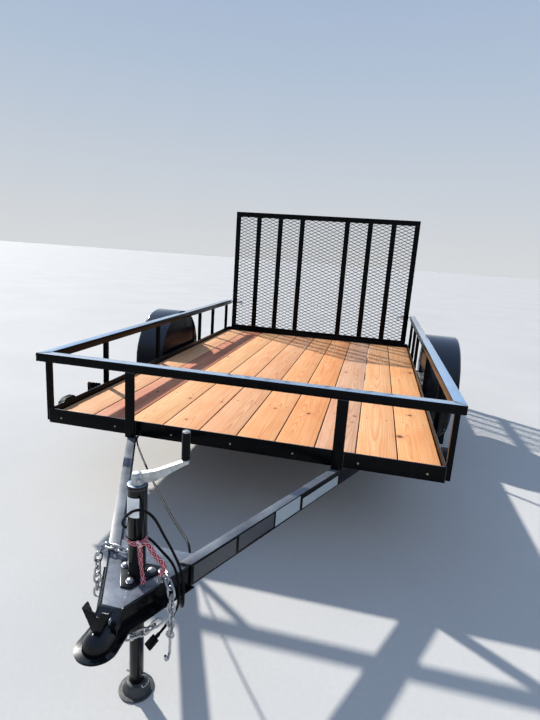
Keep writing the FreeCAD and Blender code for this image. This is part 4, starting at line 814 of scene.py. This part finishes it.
# seam and grease point
jd.tube([(0.0, JY + 28.4, z) for z in range(546, 690, 6)], 1.1, 6, 3)
jd.lathe((-28.2, JY + 4, 660), (-1, 0, 0), [(0, 4), (2, 4), (2.5, 3), (5, 2.6), (6, 0)], 14, 1)
jd.obj("jack_details", "chassis", [M_CAP, M_ZINC, M_CAST, M_WELD, M_BRIGHT])
grip = MB()
prof = [(0, 5.4), (0, 11.4), (1.2, 12.4)]
z = 3.0
while z < 78:
    prof += [(z, 12.5), (z + 2.4, 12.5), (z + 2.9, 12.0), (z + 3.7, 12.0)]
    z += 4.2
prof += [(82.5, 12.4), (84, 11.4), (84, 5.4)]
grip.lathe((g.x, g.y, 757), (0, 0, 1), prof, 40)
grip.obj("grip_sleeve", "chassis", M_GRIP, replaces=["jack_grip"])
# blank pale panel on the upper sleeve
lb = MB()
vs, fs = [], []
n = 18
for k in range(n + 1):
    g_ = math.radians(-136 + k * (84 / n))
    for z in (609, 669):
        vs.append((28.75 * math.cos(g_), JY + 28.75 * math.sin(g_), z))
for k in range(n):
    fs.append((2 * k, 2 * k + 2, 2 * k + 3, 2 * k + 1))
lb.add(vs, fs)
lb.obj("blank_panel", "chassis", M_LABEL)
# pinned collar where the leg comes out, and pull-out foot ring
jf = MB()
jf.lathe((0, JY, 29.5), (0, 0, 1), [(0, 29), (0, 31.5), (4, 31.5), (6, 28), (7, 22.4)], 40, 0)
jf.rod((-33, JY, 60), (33, JY, 60), 4.5, 14, 1, 1.0)
jf.tube(curve_points([(33, JY, 60), (44, JY - 6, 58), (46, JY - 18, 50), (36, JY - 28, 42), (30, JY - 25, 46)], 5), 1.6, 8, 1)
jf.obj("foot_pin", "jack_leg_body", [M_FOOT, M_ZINC])

# ------------------------------------------------------------------ coupler details
cd = MB()
for s in (-1, 1):
    # washer and peened end of the latch's pivot
    cd.lathe((s * 13.0, -1100, 394), (s, 0, 0), [(0, 0), (0, 9.0), (1.6, 9.0), (1.8, 6.4), (4.0, 6.2), (5.6, 4.0), (5.8, 0)], 22, 0)
    # welds between coupler and arms
    cd.bead((s * (517 - 0.4663 * 858 - 13), -853.5, 418.4), (s * (517 - 0.4663 * 858 + 19), -853.5, 418.4), 2.6, 1)
# rolled rim along the coupler's upper edges
for s in (-1, 1):
    rim = [(s * (517 + 0.4663 * y + 13.4), y, 412.2) for y in (-862, -900, -940, -980, -1020, -1050, -1066)]
    rim += [(s * 32.6, -1078, 408), (s * 33.4, -1092, 397), (s * 34.6, -1108, 384.5)]
    cd.tube(curve_points(rim, 6), 3.0, 10, 2)
# ball-shaped skin of the nose, run back as a half round to the shoulder, and the shoulder's face
vs, fs = [], []
na, nb_ = 36, 14
rows_ = [(BALL_Y - NOSE_R * math.sin(math.radians(90 * (1 - k / nb_))), NOSE_R * math.cos(math.radians(90 * (1 - k / nb_)))) for k in range(nb_ + 1)]
rows_ += [(BALL_Y + 10, NOSE_R), (BALL_Y + 20, NOSE_R), (SHOULDER_Y + 3, NOSE_R)]
for y_, r_ in rows_:
    for i in range(na + 1):
        g_ = math.pi * i / na
        vs.append((r_ * math.cos(g_), y_, BALL_Z + r_ * math.sin(g_)))
for k in range(len(rows_) - 1):
    for i in range(na):
        a_ = k * (na + 1) + i
        fs.append((a_, a_ + 1, a_ + na + 2, a_ + na + 1))
cd.add(vs, fs, 2)
sec = [(37.6, BALL_Z - 2), (37.6, 377.5), (36.0, 381.0), (32.5, 382.6)]
cd.add([(x_ * q_, SHOULDER_Y + dy_, z_) for dy_ in (0.3, 4.0) for q_ in (1,) for x_, z_ in sec + [(-a_, b_) for a_, b_ in reversed(sec)]],
       [tuple(range(8)), tuple(range(15, 7, -1))] + [(i, (i + 1) % 8, 8 + (i + 1) % 8, 8 + i) for i in range(8)], 2)
cd.obj("coupler_fittings", "chassis", [M_ZINC, M_WELD, M_GLOSS])
# plain plates on the outer side of the left arm
PLATES = [
    # y from and to, z from and to, 0 pale or 1 grey
    (-842, -664, 351, 410, 1), (-652, -472, 355, 412, 1), (-462, -314, 352, 414, 0), (-296, -38, 350, 394, 0),
]
ap = MB()
for ya, yb, za, zb, mt in PLATES:
    n_ = Vector((math.cos(math.radians(25)), -math.sin(math.radians(25)), 0))
    P_ = [Vector((536.86 + 0.46631 * y, y, z)) for y, z in ((ya, za), (yb, za), (yb, zb), (ya, zb))]
    ap.add([p_ + n_ * 0.1 for p_ in P_] + [p_ + n_ * 0.7 for p_ in P_], [(0, 1, 2, 3), (4, 7, 6, 5), (0, 4, 5, 1), (1, 5, 6, 2), (2, 6, 7, 3), (3, 7, 4, 0)], mt)
ap.obj("arm_blank_plates", "chassis", [M_PALE, M_GREY])

# ------------------------------------------------------------------ wheels
AX, AY, AZ = 1132.0, 1806.0, 343.0


def tyre(side, name):
    R = 343.0
    half = [(65.4, 192), (67.5, 199), (70.6, 207.8), (79, 210.5), (86, 218), (93, 232), (95.0, 238), (95.9, 238.6), (98.6, 254), (100.2, 262), (101.2, 263), (101.4, 272),
            (101.5, 282), (100.9, 290), (99.9, 297), (98.6, 303), (96.4, 310), (94.5, 314), (93.4, 316.2), (91, 321), (88.6, 327), (86.5, 331.0), (83, 335.2), (78.5, 338.4)]
    tread = [78, 70, 58.2, 57.8, 50.2, 49.8, 40, 30, 22.2, 21.8, 14.2, 13.8, 7, 0]
    xs = [(x, r) for x, r in half]
    prof = [(x, r, False) for x, r in xs]
    for x in tread:
        prof.append((x, R - 4.6 * (x / 78.0) ** 4, True))
    prof = prof + [(-x, r, t) for x, r, t in reversed(prof[:-1])]
    n = 360
    vs, fs = [], []
    for x, r, t in prof:
        ax = abs(x)
        for i in range(n):
            ph = i % 6
            rr, xx = r, x
            if t:
                groove = (49.9 < ax < 58.1) or (13.9 < ax < 22.1)
                if groove:
                    rr -= 8.0
                else:
                    if ax >= 58 and ph in (0, 1):
                        rr -= 6.5
                    elif 22 <= ax <= 50 and ph == (3 if x > 0 else 0):
                        rr -= 4.5
                    elif ax < 14 and ph == 2 and i % 12 < 6:
                        rr -= 3.5
                if 13 < ax < 59:
                    xx += (1.6 if (i // 3) % 2 else -1.6)
            elif ax > 88 and r > 300 and ph in (0, 1):
                rr -= 0.0
                xx -= math.copysign(2.2, x)
            g_ = 2 * math.pi * i / n
            vs.append((side * (AX + xx), AY + rr * math.cos(g_), AZ + rr * math.sin(g_)))
    m = len(prof)
    for k in range(m - 1):
        for i in range(n):
            j = (i + 1) % n
            fs.append((k * n + i, k * n + j, (k + 1) * n + j, (k + 1) * n + i))
    b = MB()
    b.add(vs, fs)
    return b.obj(name, "wheel_left" if side > 0 else "wheel_right", M_RUBBER, angle=32, replaces=["tyre_left" if side > 0 else "tyre_right"])


for side, nm in ((1, "left"), (-1, "right")):
    tyre(side, "tyre_tread_" + nm)
    wd = MB()
    for k in range(5):
        b = math.radians(90 + 72 * k)
        y, z = AY + 57.15 * math.cos(b), AZ + 57.15 * math.sin(b)
        x = side * (AX + 8)
        wd.lathe((x, y, z), (side, 0, 0), [(0, 7), (0, 10.5), (3.0, 12.0), (3.4, 12.0)], 24, 0)
        wd.lathe((x + side * 3.2, y, z), (side, 0, 0), [(0, 12.1), (11, 12.1), (14.5, 9.5), (16.0, 5.5), (16.0, 0)], 6, 0, turn=rnd.random())
    # bright dust cap and valve
    wd.lathe((side * (AX + 26), AY, AZ), (side, 0, 0), [(0, 31.0), (2, 31.4), (3, 30.6), (28, 30.5), (31, 29.4), (35.5, 24.6), (36.6, 20), (37.0, 0)], 48, 1)
    ang = math.radians(200)
    vy, vz = AY + 160 * math.cos(ang), AZ + 160 * math.sin(ang)
    rad = Vector((0, math.cos(ang), math.sin(ang)))
    wd.lathe((side * (AX + 16), vy, vz), Vector((side * 1.0, 0, 0)) - rad * 0.35, [(0, 6.2), (6, 5.4), (10, 4.0), (26, 3.8), (27, 4.4), (36, 4.4), (37.5, 3.6), (37.5, 0)], 16, 2)
    wd.obj("wheel_fittings_" + nm, "wheel_" + nm, [M_BRIGHT, M_ZINC, M_SHEATH])

# nuts of the spring clamps
un = MB()
for s in (-1, 1):
    for dx in (-30, 30):
        for y in (1806 - 37.5, 1806 + 37.5):
            un.hexbolt((s * (950 + dx), y, 243 - 30 - 10.5), (0, 0, -1), 19, 10, shank=4, mat=0, turn=rnd.random())
for s in (-1, 1):
    for y in (1806 - 322, 1806 + 322):
        for sx in (-1, 1):
            un.hexbolt((s * 950 + sx * 34, y, 360.5), (sx, 0, 0), 21, 8, mat=0, turn=rnd.random())
un.obj("spring_nuts", "chassis", M_ZINC)

# ------------------------------------------------------------------ lamps
la = MB()
for s in (-1, 1):
    x0 = s * 978
    y = 172
    # steel guard, backing, lens with bezel
    pr = [(y - 62, FT - 34), (y - 62, FT - 6), (y - 34, FT + 12), (y + 34, FT + 12), (y + 62, FT - 6), (y + 62, FT - 34)]
    vs = [(x0 + s * dx, a_, b_) for dx in (0, 29.5) for a_, b_ in pr]
    n = len(pr)
    la.add(vs, [tuple(range(n)), tuple(range(2 * n - 1, n - 1, -1))] + [(i, (i + 1) % n, n + (i + 1) % n, n + i) for i in range(n)], 0)
    m_ = 40
    rows_ = []
    vs, fs = [], []
    for dx, sc_ in ((29, 1.0), (31, 1.0), (32.4, 0.95), (33.3, 0.82), (33.8, 0.55), (34, 0.25)):
        row = []
        for i in range(m_):
            g_ = 2 * math.pi * i / m_
            row.append(len(vs))
            vs.append((x0 + s * dx, y + 44 * sc_ * math.copysign(abs(math.cos(g_)) ** 0.6, math.cos(g_)), FT - 12 + 17 * sc_ * math.copysign(abs(math.sin(g_)) ** 0.75, math.sin(g_))))
        rows_.append(row)
    for p_, q_ in zip(rows_[:-1], rows_[1:]):
        for i in range(m_):
            j = (i + 1) % m_
            fs.append((p_[i], p_[j], q_[j], q_[i]))
    fs.append(tuple(rows_[-1]))
    la.add(vs, fs, 1)
la.obj("side_lamps", "chassis", [M_LAMP, M_AMBER], replaces=["marker_lamps_front"])
refine("tail_lamps", M_RED, 4.0, 4)
tl = MB()
for s in (-1, 1):
    cx = s * 857.5
    z = 419 - 39
    pts = []
    for k in range(48):
        g_ = 2 * math.pi * k / 48
        sx = 50 if math.cos(g_) >= 0 else -50
        pts.append((cx + sx + 31.5 * math.cos(g_), 3080 - 10, z + 31.5 * math.sin(g_)))
    pts.append(pts[0])
    tl.tube(pts, 3.2, 8, 0, caps=False)
tl.obj("lamp_grommets", "chassis", M_SHEATH)
pl = MB()
pl.box(-612, -328, 3080 - 8.6, 3080 - 7.4, 419 - 104, 419 - 12, 0, 0.5)
for x in (-596, -344):
    pl.hexbolt((x, 3080 - 7.4, 419 - 24), (0, 1, 0), 10, 3, washer=False, mat=1)
pl.obj("blank_plate", "chassis", [M_LABEL, M_ZINC])

# ------------------------------------------------------------------ ribbon tied round the jack's step
def ribbon_cloth():
    m = Mat("ribbon")
    u = m.n("ShaderNodeUVMap", uv_map="UVMap").outputs[0]
    x, y, _ = m.split(u)
    a_ = m.math("ABSOLUTE", m.math("SUBTRACT", m.math("FRACT", m.math("ADD", m.math("MULTIPLY", y, 34), x)), 0.5))
    b_ = m.math("ABSOLUTE", m.math("SUBTRACT", m.math("FRACT", m.math("SUBTRACT", m.math("MULTIPLY", y, 34), x)), 0.5))
    line = m.math("MAXIMUM", m.remap(a_, 0.41, 0.46), m.remap(b_, 0.41, 0.46))
    blob = m.math("MULTIPLY", m.remap(a_, 0.15, 0.06), m.remap(b_, 0.15, 0.06))
    fig = m.math("MAXIMUM", m.math("MULTIPLY", line, 0.85), blob)
    weave = m.math("MULTIPLY", m.math("SINE", m.math("MULTIPLY", x, 90)), m.math("SINE", m.math("MULTIPLY", y, 5200)))
    col = m.mix(m.remap(m.noise(m.pos, 90, 3), 0.3, 0.7), (0.21, 0.004, 0.018), (0.33, 0.009, 0.034))
    col = m.mix(m.math("MULTIPLY", fig, 0.85), col, (0.80, 0.56, 0.58))
    return m.set(color=col, rough=0.62, normal=m.bump(weave, 0.35, 0.0004), sheen=0.08)


M_RIBBON = ribbon_cloth()


def ribbon(name, path, side, wide=15.0):
    """Strip of cloth along path (drawing mm); side(i, t) is the direction across it."""
    pts = [Vector(p) for p in path]
    vs, fs, uvs = [], [], []
    dist = 0.0
    m_ = 6
    for i, p in enumerate(pts):
        if i:
            dist += (p - pts[i - 1]).length
        tan = (pts[min(i + 1, len(pts) - 1)] - pts[max(i - 1, 0)]).normalized()
        w = Vector(side(i / (len(pts) - 1)))
        w = (w - tan * w.dot(tan)).normalized()
        nn = tan.cross(w)
        for k in range(m_ + 1):
            t = k / m_ - 0.5
            fold = 1.2 * math.sin(t * 5.0 + dist * 0.09) * (0.3 + 0.7 * min(1, dist / 40))
            vs.append(p + w * (t * wide) + nn * fold)
            uvs.append((t + 0.5, dist / 1000))
    for i in range(len(pts) - 1):
        for k in range(m_):
            fs.append((i * (m_ + 1) + k, i * (m_ + 1) + k + 1, (i + 1) * (m_ + 1) + k + 1, (i + 1) * (m_ + 1) + k))
    me = bpy.data.meshes.new(name)
    me.from_pydata([W(*v) for v in vs], [], fs)
    uv = me.uv_layers.new(name="UVMap")
    for lp in me.loops:
        uv.data[lp.index].uv = uvs[lp.vertex_index]
    me.materials.append(M_RIBBON)
    me.shade_smooth()
    return me, dist


RZ = 531.0
ring = [(29.6 * math.cos(math.radians(a_)), JY + 29.6 * math.sin(math.radians(a_)), RZ - 1 + 2.5 * math.sin(math.radians(a_ + 60))) for a_ in range(-60, 302, 9)]
me1, l1 = ribbon("r1", ring, lambda t: (0, 0, 1), 14.0)
o1 = place("ribbon_loop", me1, "chassis", ["tie_ribbon"])
tail_a = curve_points([(22, JY - 29, RZ - 2), (26, JY - 33, RZ - 20), (28, JY - 32, RZ - 46), (30, JY - 32, RZ - 73), (36, JY - 36, RZ - 98), (47, JY - 51, RZ - 107)], 8)
me2, l2 = ribbon("r2", tail_a, lambda t: (math.cos(0.5 * t - 0.2), -math.sin(0.9 * t - 0.2) * 0.5, 0), 15.0)
o2 = place("ribbon_tail_a", me2, "chassis")
tail_b = curve_points([(26, JY - 24, RZ), (38, JY - 28, RZ + 7), (52, JY - 27, RZ - 3), (68, JY - 25, RZ - 28), (86, JY - 21, RZ - 50), (92, JY - 18, RZ - 66), (88, JY - 21, RZ - 82), (83, JY - 24, RZ - 94)], 8)
me3, l3 = ribbon("r3", tail_b, lambda t: (math.cos(1.2 * t), 0.45 * math.sin(2.2 * t), 0.75 - 0.6 * t), 15.0)
o3 = place("ribbon_tail_b", me3, "chassis")
# the knot: a short wrapped roll
kn = MB()
kn.tube(curve_points([(15, JY - 29, RZ + 7), (21, JY - 32.5, RZ + 6), (27, JY - 29.5, RZ), (27, JY - 27.5, RZ - 7), (20, JY - 28.5, RZ - 8)], 5), 4.8, 12, 0, wobble=lambda i: 0.8 + 0.25 * math.sin(i * 0.7))
knot = kn.obj("ribbon_knot", "chassis", M_RIBBON, angle=70)

# ------------------------------------------------------------------ small fittings
sf = MB()
# springs of the gate latches
for s in (-1, 1):
    ly, lz = GY + 22, 770.0
    pts = []
    for i in range(150):
        g_ = i * 0.42
        pts.append((s * (950 - 96 + i * 0.10), ly + 7.2 * math.cos(g_), lz + 7.2 * math.sin(g_)))
    sf.tube(pts, 1.0, 6, 0)
    sf.tube([(s * (950 - 101) + 9 * math.sin(t * 0.35), ly, lz - 33 + 9 * math.cos(t * 0.35)) for t in range(19)], 2.0, 8, 0)
sf.obj("latch_springs", "tailgate", M_ZINC)

# ------------------------------------------------------------------ floor and light
fl = bpy.data.meshes.new("floor")
s_ = 60.0
fl.from_pydata([(-s_, -s_, 0), (s_, -s_, 0), (s_, s_, 0), (-s_, s_, 0)], [], [(0, 1, 2, 3)])
floor = bpy.data.objects.new("floor", fl)
scene.collection.objects.link(floor)
mf = Mat("floor_m")
cl = mf.noise(mf.pos, 0.8, 5, 0.6)
fine_ = mf.noise(mf.pos, 60, 4, 0.6)
col_ = mf.mix(mf.remap(cl, 0.3, 0.7), (0.52, 0.515, 0.50), (0.58, 0.57, 0.55))
col_ = mf.mix(mf.remap(fine_, 0.4, 0.7, 0.0, 0.25), col_, (0.45, 0.445, 0.43))
fl.materials.append(mf.set(color=col_, rough=0.85, normal=mf.bump(fine_, 0.1, 0.001)))

sun = bpy.data.lights.new("key", "SUN")
sun.energy = 4.4
sun.angle = math.radians(1.6)
sun.color = (1.0, 0.965, 0.90)
so = bpy.data.objects.new("key", sun)
scene.collection.objects.link(so)
to_sun = Vector((-0.653, 0.468, 0.595))
so.rotation_mode = "QUATERNION"
so.rotation_quaternion = to_sun.to_track_quat("Z", "Y")
fill = bpy.data.lights.new("fill", "AREA")
fill.energy = 70
fill.size = 5.0
fill.color = (0.86, 0.92, 1.0)
fo = bpy.data.objects.new("fill", fill)
scene.collection.objects.link(fo)
fo.visible_glossy = False
fo.location = (3.4, -6.5, 4.2)
fo.rotation_mode = "QUATERNION"
fo.rotation_quaternion = (Vector(fo.location) - Vector((0, -1.0, 0.5))).to_track_quat("Z", "Y")

world = bpy.data.worlds.new("studio")
scene.world = world
world.use_nodes = True
wt = world.node_tree
bg = wt.nodes["Background"]
tc = wt.nodes.new("ShaderNodeTexCoord")
sx_ = wt.nodes.new("ShaderNodeSeparateXYZ")
wt.links.new(tc.outputs["Generated"], sx_.inputs[0])
cr = wt.nodes.new("ShaderNodeValToRGB")
cr.color_ramp.elements[0].position = 0.0
cr.color_ramp.elements[0].color = (0.74, 0.76, 0.78, 1)
cr.color_ramp.elements[1].position = 1.0
cr.color_ramp.elements[1].color = (0.22, 0.33, 0.56, 1)
e_ = cr.color_ramp.elements.new(0.30)
e_.color = (0.50, 0.60, 0.74, 1)
e_ = cr.color_ramp.elements.new(0.55)
e_.color = (0.34, 0.46, 0.68, 1)
wt.links.new(sx_.outputs[2], cr.inputs[0])
wt.links.new(cr.outputs[0], bg.inputs[0])
bg.inputs[1].default_value = 0.78

scene.view_settings.view_transform = "Standard"
scene.view_settings.look = "None"
scene.view_settings.exposure = 0.22
